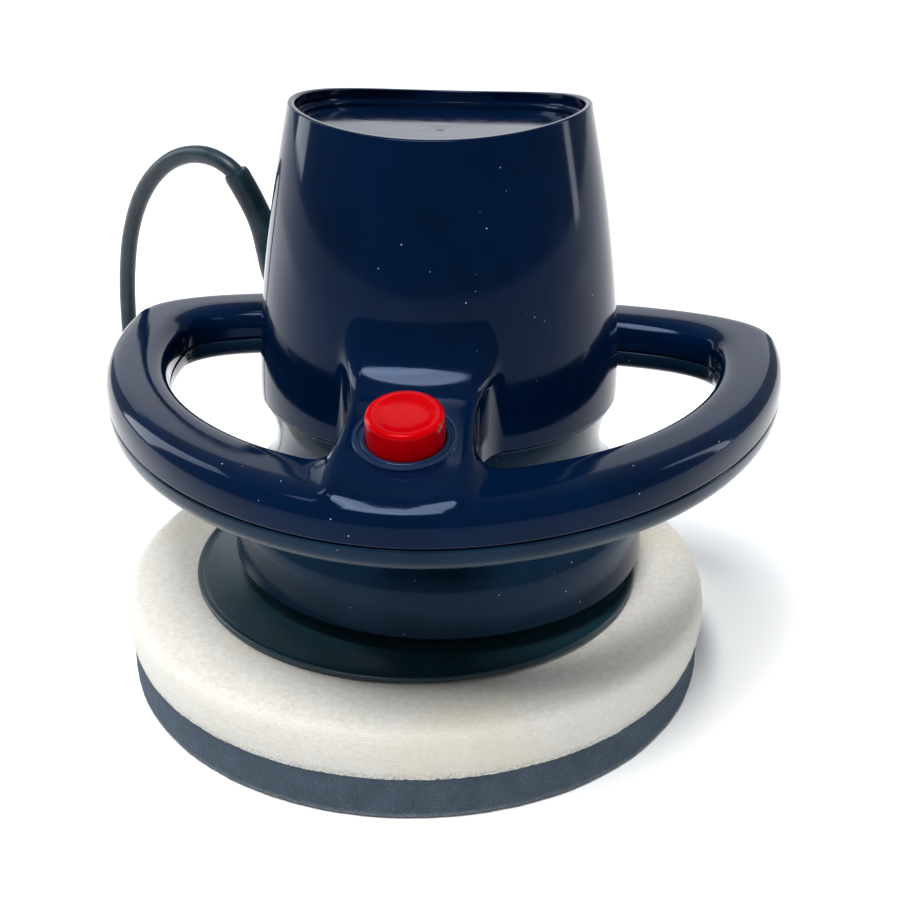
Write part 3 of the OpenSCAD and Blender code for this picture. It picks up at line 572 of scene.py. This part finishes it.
def make_upper_shell():
    """The tower's wall, the top half of the grip ring and the bridge between them, as one moulding."""
    levels = np.linspace(seam_z - 6, TOP_Z - 2, 24)
    profile = [(0, levels[0])] + [(float(tower_r(z)), float(z)) for z in levels] + [(0, levels[-1])]
    tower = turned("tower_blank", profile, steps=64)
    ring = ring_blank("ring_up_blank", RING_UP, 6)
    slope = math.tan(BRIDGE_TILT)
    front_z = seam_z + RING_UP
    back_z = front_z + (ring_front - BRIDGE_FRONT + BRIDGE_BACK) * slope
    bar = bar_blank("bar_up_blank", front_z, back_z, seam_z - 6)
    shell = fuse("upper_shell", [tower, ring, bar], 1.75)
    cut_flat(shell, NECK_Z, "under")
    cut_flat(shell, seam_z + GAP, "over")
    settle(shell, upper_shape, flat=(seam_z + GAP, NECK_Z))
    cut_flat(shell, seam_z + GAP + 1.0, "both")
    cut_flat(shell, seam_z + GAP + 0.5, "both")
    settle(shell, upper_shape, 3, flat=(seam_z + GAP, NECK_Z))
    thicken(shell, WALL)
    for i in range(VENTS):
        x = (i - (VENTS - 1) / 2) * VENT_PITCH
        cut_away(shell, block("slot", (x - VENT_W / 2, 45, seam_z + 26), (x + VENT_W / 2, 95, seam_z + 56)))
    well = turned("well", [(0, -12), (WELL_R, -12), (WELL_R, 12), (0, 12)], SWITCH_PLACE, steps=96)
    cut_away(shell, well)
    rim = tower_rim()
    clear_selection()
    rim.select_set(True)
    shell.select_set(True)
    bpy.context.view_layer.objects.active = shell
    bpy.ops.object.join()
    shade_by(shell, upper_shape, WALL)
    return shell


def tower_rim():
    """The top of the tower's wall: a rounded rim, the inner wall, a ledge and an edge round the cap."""
    outside = [(float(tower_r(z)), float(z)) for z in np.linspace(NECK_Z, TOP_Z - 1.8, 9)]
    r_top = outside[-1][0]
    crown = [(r_top - 1.6 + 1.6 * math.cos(a), TOP_Z - 1.6 + 1.6 * math.sin(a))
             for a in np.radians(np.linspace(8, 90, 8))]
    inner = [(54.0 + 0.7 * math.cos(a), TOP_Z - 0.7 + 0.7 * math.sin(a))
             for a in np.radians(np.linspace(90, 180, 6))]
    steps_down = ((53.3, 4.0), (53.2, 4.3), (52.9, 4.5), (51.2, 4.6), (50.9, 4.7), (50.8, 5), (50.8, 11))
    ledge = [(r, TOP_Z - down) for r, down in steps_down]
    back = [(51.5, TOP_Z - 12), (float(tower_r(NECK_Z)) - WALL, NECK_Z)]
    profile = outside + crown + inner + ledge + back
    piece = turned("tower_rim", profile + [profile[0]], steps=192)
    p = corners_of(piece)
    lift = ease(p[:, 2], NECK_Z, TOP_Z - 4) * p[:, 0] ** 2 / DISH
    near_skin = ease(np.hypot(p[:, 0], p[:, 1]), 53.9, 55.2)
    narrower = 1 + (tower_r(p[:, 2] + lift) / tower_r(p[:, 2]) - 1) * near_skin
    p[:, 2] += lift
    p[:, 0] *= narrower
    p[:, 1] *= narrower
    put_corners(piece, p)
    return piece


def make_lower_shell():
    """The skirt round the drive, its waist, and the bottom half of the grip ring, as one moulding."""
    outline = [(0, skirt_z - 5), (SKIRT_R, skirt_z - 5), (84.9, 66.5), (82, 70.5), (70.5, 82), (66.2, 88),
               (NECK_R, 97), (68, 107), (71, seam_z), (71, seam_z + 5), (0, seam_z + 5)]
    body = turned("body_blank", outline, steps=64)
    ring = ring_blank("ring_low_blank", 5, RING_DOWN)
    bar = bar_blank("bar_low_blank", seam_z + 5, seam_z + 5, ring_low_z)
    shell = fuse("lower_shell", [body, ring, bar], 1.9)
    cut_flat(shell, seam_z - GAP, "under")
    cut_flat(shell, skirt_z, "over")
    settle(shell, lower_shape, flat=(seam_z - GAP, skirt_z))
    cut_flat(shell, seam_z - GAP - 1.0, "both")
    cut_flat(shell, seam_z - GAP - 0.5, "both")
    settle(shell, lower_shape, 3, flat=(seam_z - GAP, skirt_z))
    thicken(shell, WALL)
    shade_by(shell, lower_shape, WALL)
    return shell


# ---------- the other plastic pieces ----------


def make_top_plate():
    """The dished plate that closes the tower, with the faint ring left by the mould's gate."""
    top = TOP_Z - 6.4
    gate = [(0, top - 0.05), (1.2, top - 0.05), (1.8, top), (7.2, top), (8.0, top - 0.03), (8.8, top)]
    edge = corner(50.0, top - 0.6, 0.6, 90, 0, 4)
    profile = gate + [(r, top) for r in np.linspace(14, 49, 8)] + edge + [(50.6, top - 4), (0, top - 4)]
    piece = turned("top_plate", profile, steps=160)
    p = corners_of(piece)
    p[:, 2] += p[:, 0] ** 2 / DISH
    put_corners(piece, p)
    return piece


def make_button():
    """A shallow dished push button with a rounded rim."""
    r, top = 12.9, 9.5
    profile = [(0, top - 0.9), (4, top - 0.82), (7, top - 0.62), (9, top - 0.35), (10, top - 0.1)]
    profile += corner(r - 1.7, top - 1.7, 1.7, 84, 0, 7) + [(r + 0.15, 4), (r + 0.15, -4.5), (0, -4.5)]
    return turned("push_button", profile, SWITCH_PLACE, 128)


def make_collar():
    """The chamfered collar sunk in the bridge round the button."""
    profile = [(13.35, -11), (16.4, -11), (16.4, -0.6), (17.3, -0.3), (17.45, 0.05), (17.2, 0.4),
               (16.6, 0.55), (16.0, 0.45), (15.6, -0.5), (15.2, -0.6), (14.9, -0.1), (14.5, 0.15),
               (13.8, 0.1), (13.35, -0.3)]
    return turned("button_collar", profile + [profile[0]], SWITCH_PLACE, 128, 40)


def make_plate():
    """The backing plate: a beaded rim, a shallow cone and the bearing's hub, on the pad's own axis."""
    low_z = plate_low + 0.6
    bead = corner(plate_r - 1, low_z + 1, 1, -90, 150, 10)
    slope = [(plate_r - 2.4, low_z + 1.1), (plate_r - 4, low_z + 1.0), (plate_r - 6, low_z + 1.5)]
    cone = [(60, low_z + 5.2), (36.5, low_z + 7.9), (35, low_z + 8.0), (21.5, low_z + 8.1),
            (20.3, low_z + 9)]
    hub = corner(19, low_z + 10.9, 1, 0, 90, 4) + [(15.1, low_z + 11.9), (15.1, low_z)]
    profile = bead + slope + cone + hub
    return turned("backing_plate_moulding", profile + [profile[0]], PAD_PLACE, 160)


def make_sleeve():
    """The cord's rubber sleeve, thinner towards its square-cut end."""
    route = rounded([(-60, 24, 134), (-67, 27, 141), (-72.5, 32, 148), (-76, 36, 156.5), (-78.5, 38, 164.5),
                     (-81, 38.5, 171.5), (-84.5, 37.5, 180), (-89, 36, 189.6)], 0.9)
    share = np.linspace(0, 1, len(route))
    radii = 7.4 - 2.0 * ease(share, 0, 0.75)
    radii[-1] -= 0.5
    radii[-2] -= 0.15
    return swept("cord_sleeve", route, radii, 40)


def make_plug():
    """A moulded two-pin plug: a tapered tail, a waisted grip and a flat face."""
    tail = [(0, 0), (4.4, 0), (5.3, 0.5), (5.6, 2), (6.2, 8), (7.4, 14), (9.5, 16.5)]
    profile = tail + [(13.4, 18), (15.6, 20), (16.6, 23), (15.9, 28), (15.4, 33), (16.2, 38), (16.9, 41)]
    profile += corner(15.9, 43, 1, 0, 90, 4) + [(0, 44)]
    place = Matrix.Translation(Vector(PLUG_AT) * MM) @ Matrix.Rotation(math.pi / 2, 4, "Y")
    piece = turned("plug_moulding", profile, place, 96)
    p = corners_of(piece)
    mid_z = PLUG_AT[2]
    p[:, 2] = mid_z + (p[:, 2] - mid_z) * (1 - 0.25 * ease(p[:, 0], 0, 8))   # flatter at the grip
    put_corners(piece, p)
    return piece


def make_pin(name, side):
    """A round plug contact with a domed end, to one side of the plug's axis."""
    profile = [(0, -1), (2.4, -1), (2.4, 17.2)] + corner(0.8, 17.4, 1.6, 0, 90, 5)[1:] + [(0, 19)]
    x, y, z = PLUG_AT
    root = Vector((x + 44, y + side * PIN_APART / 2, z))
    place = Matrix.Translation(root * MM) @ Matrix.Rotation(math.pi / 2, 4, "Y")
    return turned(name, profile, place, 32)


def make_tie():
    """The strap that holds the coil together, with rounded corners."""
    mid_y, mid_z, half_y, half_z = COIL_CENTRE[1] + 42, 8.55, 11.5, 7.75
    corners_at = [(1, -1), (1, 1), (-1, 1), (-1, -1)]
    outer, inner = [], []
    bend, thick = 2.5, 0.8
    for k, (sy, sz) in enumerate(corners_at):
        for a in np.radians(np.linspace(-90, 0, 6) + 90 * k):
            y, z = mid_y + sy * (half_y - bend), mid_z + sz * (half_z - bend)
            inner.append((y + bend * math.cos(a), z + bend * math.sin(a)))
            outer.append((y + (bend + thick) * math.cos(a), z + (bend + thick) * math.sin(a)))
    n = len(outer)
    points = [(x, y, z) for x, ring in ((-4, inner), (-4, outer), (4, outer), (4, inner)) for y, z in ring]
    faces = [(r * n + j, r * n + (j + 1) % n, (r + 1) % 4 * n + (j + 1) % n, (r + 1) % 4 * n + j)
             for r in range(4) for j in range(n)]
    piece = mesh_piece("coil_strap", points, faces)
    outward(piece)
    smooth(piece, 40)
    return piece


# ---------- the pad ----------


def pad_piece(name, profile, steps, grain, depth, big_grain, big_depth):
    """A soft disc on the pad's axis with a surface that isn't quite even."""
    piece = turned(name, profile, PAD_PLACE, steps, 60)
    for label, size, strength in (("coarse", big_grain, big_depth), ("fine", grain, depth)):
        texture = bpy.data.textures.new(name + "_" + label, "CLOUDS")
        texture.noise_scale = size * MM
        texture.noise_depth = 2
        apply_modifier(piece, "DISPLACE", texture=texture, strength=strength * MM, mid_level=0.5,
                       texture_coords="LOCAL")
    return piece


def spaced(points, step):
    """The same outline with a point about every step millimetres."""
    line = []
    for a, b in zip(points, points[1:]):
        a, b = np.array(a), np.array(b)
        count = max(1, round(np.linalg.norm(b - a) / step))
        line += [tuple(a + (b - a) * k / count) for k in range(count)]
    return line + [points[-1]]


def make_pale_layer():
    """The cream wool-like layer: a nearly straight side, rounded into a flat top face."""
    low_z, high_z, r = pale_low, pale_top - 0.3, pad_r
    side = []
    for t in np.linspace(0, 1, 20):
        rise = t if t < 0.5 else 0.5 + 0.5 * math.sin(math.pi * (t - 0.5))
        side.append((r + 1.0 * math.sin(math.pi * t) - 5 * t**7, low_z + (high_z - low_z) * rise))
    top = [(r - 5 - 1.8, high_z - 0.05), (r - 10, high_z)]
    far = spaced([top[-1], (plate_r - 6, high_z)], 1.1)
    inside = [(60, high_z), (14, high_z), (14, low_z + 0.2), (60, low_z), (r - 6, low_z)]
    under = spaced([(r - 6, low_z), (r - 0.4, low_z)], 1.1)[1:]
    profile = inside + under + spaced(side, 1.0) + [top[0]] + far
    return pad_piece("pale_pad_layer", profile + [profile[0]], 620, 1.1, 0.55, 11, 0.5)


def make_dark_layer():
    """The slate foam layer at the working face, fuzzy, with a soft lower edge."""
    r = pad_r
    edge = corner(r - 1.8, 1.8, 1.8, -90, 0, 5)
    side = spaced([edge[-1], (r - 0.2, pale_low - 0.1)], 1.0)
    profile = [(0, 0.25), (60, 0.25)] + spaced([(r - 12, 0.25), (r - 2, 0.1)], 1.4)
    profile += edge + side[1:] + [(r - 4, pale_low - 0.1), (0, pale_low - 0.1)]
    return pad_piece("dark_pad_layer", profile, 560, 1.3, 0.4, 12, 0.5)


# ---------- finishes ----------


def paint(hex_code):
    """A hex sRGB colour as linear numbers."""
    parts = [int(hex_code[i:i + 2], 16) / 255 for i in (0, 2, 4)]
    return (*[c / 12.92 if c <= 0.04045 else ((c + 0.055) / 1.055) ** 2.4 for c in parts], 1)


class Finish:
    """A material being put together from a few nodes; sizes are in millimetres."""

    def __init__(self, name, base, roughness, metallic=0.0, **inputs):
        self.material = bpy.data.materials.new(name)
        self.material.use_nodes = True
        self.tree = self.material.node_tree
        self.shader = self.tree.nodes["Principled BSDF"]
        self.set(self.shader, "Base Color", paint(base))
        self.set(self.shader, "Roughness", roughness)
        self.set(self.shader, "Metallic", metallic)
        for key, value in inputs.items():
            self.set(self.shader, key.replace("_", " "), value)
        self.place = self.node("TexCoord").outputs["Object"]

    def set(self, node, socket, value):
        if isinstance(value, bpy.types.NodeSocket):
            self.tree.links.new(value, node.inputs[socket])
        else:
            node.inputs[socket].default_value = value

    def node(self, kind, **settings):
        node = self.tree.nodes.new("ShaderNode" + kind)
        for key, value in settings.items():
            if key[0].isupper():
                self.set(node, key.replace("_", " "), value)
            else:
                setattr(node, key, value)
        return node

    def stretched(self, x, y, z):
        return self.node("Mapping", Vector=self.place, Scale=(x, y, z)).outputs[0]

    def noise(self, size, detail=3.0, rough=0.5, where=None):
        return self.node("TexNoise", Vector=where or self.place, Scale=1 / (size * MM), Detail=detail,
                         Roughness=rough).outputs["Fac"]

    def spots(self, size, reach):
        """1 in the middle of scattered spots and 0 outside them."""
        near = self.node("TexVoronoi", Vector=self.place, Scale=1 / (size * MM)).outputs["Distance"]
        return self.ramp(near, reach, 0.4 * reach)

    def lines(self, pitch, **settings):
        """Parallel lines; a wave texture has one line in 0.314 of its own units."""
        return self.node("TexWave", Vector=self.place, Scale=0.314 / (pitch * MM), **settings).outputs["Fac"]

    def ramp(self, value, low_end, high_end, to_low=0.0, to_high=1.0):
        node = self.node("MapRange", From_Min=low_end, From_Max=high_end, To_Min=to_low, To_Max=to_high)
        self.set(node, "Value", value)
        return node.outputs["Result"]

    def times(self, a, b):
        node = self.node("Math", operation="MULTIPLY")
        self.tree.links.new(a, node.inputs[0])
        self.tree.links.new(b, node.inputs[1])
        return node.outputs[0]

    def mixed(self, share, a, b):
        """Colour a where share is 0 and b where it is 1."""
        node = self.node("Mix", data_type="RGBA")
        for socket, value in ((0, share), (6, a), (7, b)):
            if isinstance(value, bpy.types.NodeSocket):
                self.tree.links.new(value, node.inputs[socket])
            else:
                node.inputs[socket].default_value = value
        return node.outputs[2]

    def colour(self, value):
        self.set(self.shader, "Base Color", value)

    def shine(self, value):
        self.set(self.shader, "Roughness", value)

    def grain(self, height, strength, depth):
        """Small bumps, depth millimetres high."""
        bump = self.node("Bump", Height=height, Strength=strength, Distance=depth * MM)
        old = self.shader.inputs["Normal"]
        if old.is_linked:
            self.set(bump, "Normal", old.links[0].from_socket)
        self.set(self.shader, "Normal", bump.outputs[0])


def navy_moulding(name, base, deep, shine):
    """Navy ABS from a polished mould, with faint smears, hair scratches and a few specks of dust."""
    f = Finish(name, base, shine, IOR=1.46, Specular_IOR_Level=0.22, Specular_Tint=paint("A9C0E8"))
    cloud = f.ramp(f.noise(26, 2), 0.35, 0.7)
    smear = f.noise(7, 4, 0.6, f.stretched(1, 1, 0.25))
    scratch = f.ramp(f.noise(1.2, 2, 0.5, f.stretched(0.05, 1, 1)), 0.66, 0.74)
    f.shine(f.ramp(smear, 0.3, 0.75, shine * 0.75, shine * 1.5))
    specks = f.times(f.spots(5.2, 0.055), f.ramp(f.noise(16, 1), 0.52, 0.58))
    f.colour(f.mixed(specks, f.mixed(cloud, paint(base), paint(deep)), paint("C9CFD6")))
    f.grain(f.noise(14, 1), 0.12, 0.25)
    f.grain(scratch, 0.05, 0.02)
    return f.material


def plate_moulding():
    """The backing plate's satin black-green nylon, moulded, with a slightly uneven sheen."""
    f = Finish("satin_dark_nylon", "16323D", 0.32, IOR=1.5)
    f.colour(f.mixed(f.ramp(f.noise(18, 3), 0.3, 0.7), paint("142E38"), paint("193742")))
    f.shine(f.ramp(f.noise(5, 4), 0.3, 0.7, 0.29, 0.35))
    f.grain(f.noise(0.5, 2), 0.15, 0.05)
    return f.material


def wool_layer():
    """Cream wool felt: matted fibres that lie round the side, a faint stain and a greyed lower edge."""
    f = Finish("cream_wool_felt", "D6D2C9", 0.95, Sheen_Weight=0.2, Sheen_Roughness=0.6, IOR=1.3)
    f.set(f.shader, "Specular IOR Level", 0.2)
    cloud = f.ramp(f.noise(14, 4, 0.6), 0.3, 0.75)
    pale = f.mixed(cloud, paint("CFCBC3"), paint("C9C5BC"))
    lying = f.noise(0.8, 5, 0.7, f.stretched(0.3, 0.3, 2.2))
    pale = f.mixed(f.ramp(lying, 0.4, 0.66), pale, paint("DAD7D0"))
    tufts = f.noise(0.45, 3, 0.7)
    pale = f.mixed(f.ramp(tufts, 0.46, 0.3, 0, 0.7), pale, paint("B4B2AC"))
    stain = f.times(f.ramp(f.noise(42, 2), 0.56, 0.74), f.ramp(f.noise(4, 3), 0.3, 0.6, 0.15, 0.4))
    pale = f.mixed(stain, pale, paint("D2C7A6"))
    specks = f.times(f.spots(2.2, 0.13), f.ramp(f.noise(9, 2), 0.52, 0.64, 0, 0.5))
    pale = f.mixed(specks, pale, paint("9C9D9C"))
    height = f.node("SeparateXYZ", Vector=f.place).outputs["Z"]
    hem = f.times(f.ramp(height, (pale_low + 3.6) * MM, (pale_low + 0.2) * MM),
                  f.ramp(f.noise(0.9, 3, 0.7), 0.46, 0.6, 0, 0.8))
    f.colour(f.mixed(hem, pale, paint("6B7176")))
    f.grain(f.noise(2.2, 5, 0.65), 0.4, 0.45)
    f.grain(lying, 0.55, 0.25)
    f.grain(tufts, 0.5, 0.15)
    return f.material


def velour_layer():
    """Slate foam faced with a short flock, lighter where it is rubbed."""
    f = Finish("slate_flocked_foam", "434F5B", 0.95, Sheen_Weight=0.12, Sheen_Roughness=0.5, IOR=1.3)
    f.set(f.shader, "Specular IOR Level", 0.15)
    f.set(f.shader, "Sheen Tint", paint("AEB4C2"))
    cloud = f.ramp(f.noise(9, 5, 0.65), 0.3, 0.72)
    base = f.mixed(cloud, paint("38434E"), paint("44515D"))
    lint = f.ramp(f.noise(0.45, 3, 0.75), 0.58, 0.7, 0, 0.65)
    base = f.mixed(lint, base, paint("8A959F"))
    height = f.node("SeparateXYZ", Vector=f.place).outputs["Z"]
    rubbed = f.times(f.ramp(height, 3.0 * MM, 0.8 * MM), f.ramp(f.noise(1.0, 3, 0.7), 0.4, 0.6, 0.1, 0.8))
    f.colour(f.mixed(rubbed, base, paint("8C9095")))
    f.grain(f.noise(0.5, 5, 0.75), 0.8, 0.3)
    f.grain(f.noise(4, 3), 0.3, 0.4)
    return f.material


def hook_strip():
    """Black nylon hook fabric: a dull field of close short hooks."""
    f = Finish("hook_fabric_black", "15161A", 0.8, Sheen_Weight=0.2)
    f.grain(f.spots(1.3, 0.4), 1.0, 0.5)
    return f.material


def red_button():
    """Glossy red ABS, moulded, with its gloss a little dulled by fingers."""
    f = Finish("glossy_red_abs", "B20006", 0.16, IOR=1.46, Specular_IOR_Level=0.22)
    f.set(f.shader, "Specular Tint", paint("FF6058"))
    f.colour(f.mixed(f.ramp(f.noise(12, 2), 0.3, 0.7), paint("A80006"), paint("B60108")))
    f.shine(f.ramp(f.noise(4, 3, 0.6), 0.35, 0.7, 0.11, 0.18))
    f.grain(f.noise(7, 2), 0.12, 0.2)
    return f.material


def rubber(name, base, shine, grain):
    """Extruded or moulded soft PVC: a low sheen, slightly dusty."""
    f = Finish(name, base, shine, IOR=1.5, Specular_IOR_Level=0.3)
    f.colour(f.mixed(f.ramp(f.noise(6, 4, 0.6), 0.4, 0.75, 0, 0.18), paint(base), paint("4B5F6E")))
    f.shine(f.ramp(f.noise(4, 3), 0.3, 0.7, shine * 0.85, shine * 1.2))
    f.grain(f.noise(grain, 3), 0.2, 0.08)
    return f.material


def metal(name, base, shine, smear, grain=1.2, along=(1, 1, 1)):
    """Bare or plated metal with turning marks and handling smears."""
    f = Finish(name, base, shine, 1.0)
    f.shine(f.ramp(f.noise(smear, 4, 0.6), 0.3, 0.7, shine * 0.75, shine * 1.35))
    f.grain(f.noise(grain, 3, 0.6, f.stretched(*along)), 0.15, 0.03)
    return f.material


def plain_plastic(name, base, shine):
    """A moulded plastic with a fine spark-eroded grain."""
    f = Finish(name, base, shine, IOR=1.5)
    f.shine(f.ramp(f.noise(5, 3), 0.3, 0.7, shine * 0.9, shine * 1.15))
    f.grain(f.noise(0.5, 2), 0.2, 0.05)
    return f.material


def laminations():
    """Stacked electrical steel, a line to every half millimetre."""
    f = Finish("laminated_steel", "6F6A66", 0.5, 0.85)
    f.grain(f.lines(0.5, bands_direction="Z"), 0.5, 0.06)
    return f.material


def windings():
    """Enamelled copper wire, laid side by side, with painted shade in the grooves between the wires."""
    f = Finish("enamelled_copper_wire", "B0602A", 0.3, 0.9, Coat_Weight=0.6)
    wire_ridges_and_groove_shade = f.lines(0.7, Distortion=1.5)
    # painted shade: the colour runs from copper on each wire's crown to dark brown in the groove between
    # wires
    f.colour(f.mixed(wire_ridges_and_groove_shade, paint("7A3A16"), paint("C9793A")))
    f.grain(wire_ridges_and_groove_shade, 0.8, 0.25)
    return f.material


def floor_finish():
    """A plain pale studio floor."""
    f = Finish("studio_floor", "F4F4F4", 0.9)
    f.set(f.shader, "Specular IOR Level", 0.1)
    return f.material


FINISHES = {
    "navy_plastic": navy_moulding("polished_navy_abs", "011430", "010F26", 0.085),
    "plate_plastic": plate_moulding(),
    "dark_foam": velour_layer(),
    "pale_foam": wool_layer(),
    "hook_fabric": hook_strip(),
    "red_plastic": red_button(),
    "black_plastic": plain_plastic("black_nylon", "121316", 0.42),
    "brown_plastic": plain_plastic("phenolic_brown", "4A2A1A", 0.5),
    "cord_rubber": rubber("slate_pvc_cord", "10242F", 0.36, 1.4),
    "steel": metal("bearing_steel", "C2C4C6", 0.16, 6, 0.6, (1, 1, 8)),
    "plated_steel": metal("zinc_plated_steel", "B9BDC0", 0.28, 4),
    "black_steel": metal("black_oxide_steel", "2A2B2E", 0.4, 4),
    "iron": laminations(),
    "aluminium": metal("die_cast_aluminium", "A9ABAD", 0.45, 8, 0.9),
    "brass": metal("brass", "C9A24E", 0.25, 5),
    "copper": windings(),
    "ferrite": plain_plastic("ferrite_magnet", "26262A", 0.62),
    "carbon": plain_plastic("carbon_brush", "1B1B1D", 0.7),
    "board": plain_plastic("glass_epoxy_board", "1F5A34", 0.35),
    "lead_insulation": rubber("lead_insulation", "7A1E1C", 0.4, 1.0),
}
COLLAR = navy_moulding("navy_abs_collar", "1B2C48", "14233B", 0.2)
LOWER_NAVY = navy_moulding("slate_navy_abs", "0F2538", "0B1D2E", 0.15)
HUB_IRON = metal("cast_iron_hub", "5C5B5A", 0.5, 7, 0.8)

# ---------- putting it together ----------

SLOT_OF = {part["node"]: part["material_slot"] for part in frame["record"]["subparts"]}


def dress(piece, material):
    piece.data.materials.clear()
    piece.data.materials.append(material)


def fit(piece, body, nodes, material=None):
    """Gives a piece its finish, its body and the plain solids that it stands for."""
    kind = SLOT_OF[nodes[0]]
    dress(piece, material or FINISHES[kind])
    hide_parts(*nodes)
    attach(piece, body)
    return piece


def dress_plain_nodes():
    """The pieces that keep their plain solid's shape, most of them inside the housing."""
    for name, node in frame["nodes"].items():
        dress(node, HUB_IRON if name == "eccentric_hub" else FINISHES[SLOT_OF[name]])


clear_selection()
dress_plain_nodes()
fit(make_upper_shell(), "housing", ["upper_housing"])
fit(make_lower_shell(), "housing", ["lower_housing"], LOWER_NAVY)
fit(make_top_plate(), "housing", ["top_cap"])
fit(make_collar(), "housing", ["switch_bezel"], COLLAR)
fit(make_button(), "button", ["switch_button"])
fit(make_plate(), "pad", ["backing_plate"])
fit(make_sleeve(), "housing", ["strain_relief"])
pale_layer = fit(make_pale_layer(), "pad", ["pale_foam"])
dark_layer = fit(make_dark_layer(), "pad", ["face_foam"])
plug = fit(make_plug(), "housing", ["plug_body"])
left_pin = fit(make_pin("plug_pin_left", 1), "housing", ["plug_pins"])
right_pin = fit(make_pin("plug_pin_right", -1), "housing", ["plug_pins"])
strap = fit(make_tie(), "housing", ["cord_tie"])
fit(mains_cord, "housing", ["power_cord", "cord_coil", "plug_lead"])

# ---------- studio ----------


def panel(name, place, aim, width, height, power, tint=(1, 1, 1)):
    """A soft box that points at a place; sizes in metres."""
    data = bpy.data.lights.new(name, "AREA")
    data.shape = "RECTANGLE"
    data.size, data.size_y = width, height
    data.energy = power
    data.color = tint
    light = bpy.data.objects.new(name, data)
    light.location = place
    light.rotation_euler = (Vector(aim) - Vector(place)).to_track_quat("-Z", "Y").to_euler()
    bpy.context.scene.collection.objects.link(light)
    return light


def broad_sun():
    """The big soft light overhead that keeps the floor evenly white."""
    data = bpy.data.lights.new("overhead", "SUN")
    data.energy = 3.5
    data.angle = math.radians(30)
    light = bpy.data.objects.new("overhead", data)
    light.rotation_euler = (math.radians(16), math.radians(-8), 0)
    bpy.context.scene.collection.objects.link(light)
    return light


def add_studio():
    bpy.ops.mesh.primitive_plane_add(size=24, location=(0, 0, -0.0003))
    floor = bpy.context.object
    floor.name = "studio_floor"
    dress(floor, floor_finish())
    middle = (0, 0, 0.1)      # each panel: place, aim, width, height, watts and, where it isn't white, tint
    lights = [panel("back_screen", (-0.5, 3.0, 1.0), middle, 3.6, 1.6, 16, (0.96, 0.97, 1)),
              panel("window_left", (-1.4, 0.5, 0.8), middle, 0.5, 1.3, 9, (0.95, 0.98, 1)),
              panel("strip_right", (1.5, 0.5, 0.7), middle, 0.18, 1.2, 3),
              panel("front_bar", (-0.45, -0.5, 1.5), middle, 1.1, 0.2, 3.5),
              broad_sun()]
    world = bpy.data.worlds.new("studio")
    bpy.context.scene.world = world
    world.use_nodes = True
    back = world.node_tree.nodes["Background"]
    back.inputs["Color"].default_value = (0.86, 0.94, 1, 1)
    back.inputs["Strength"].default_value = 0.28


add_studio()
bpy.context.scene.view_settings.view_transform = "Standard"
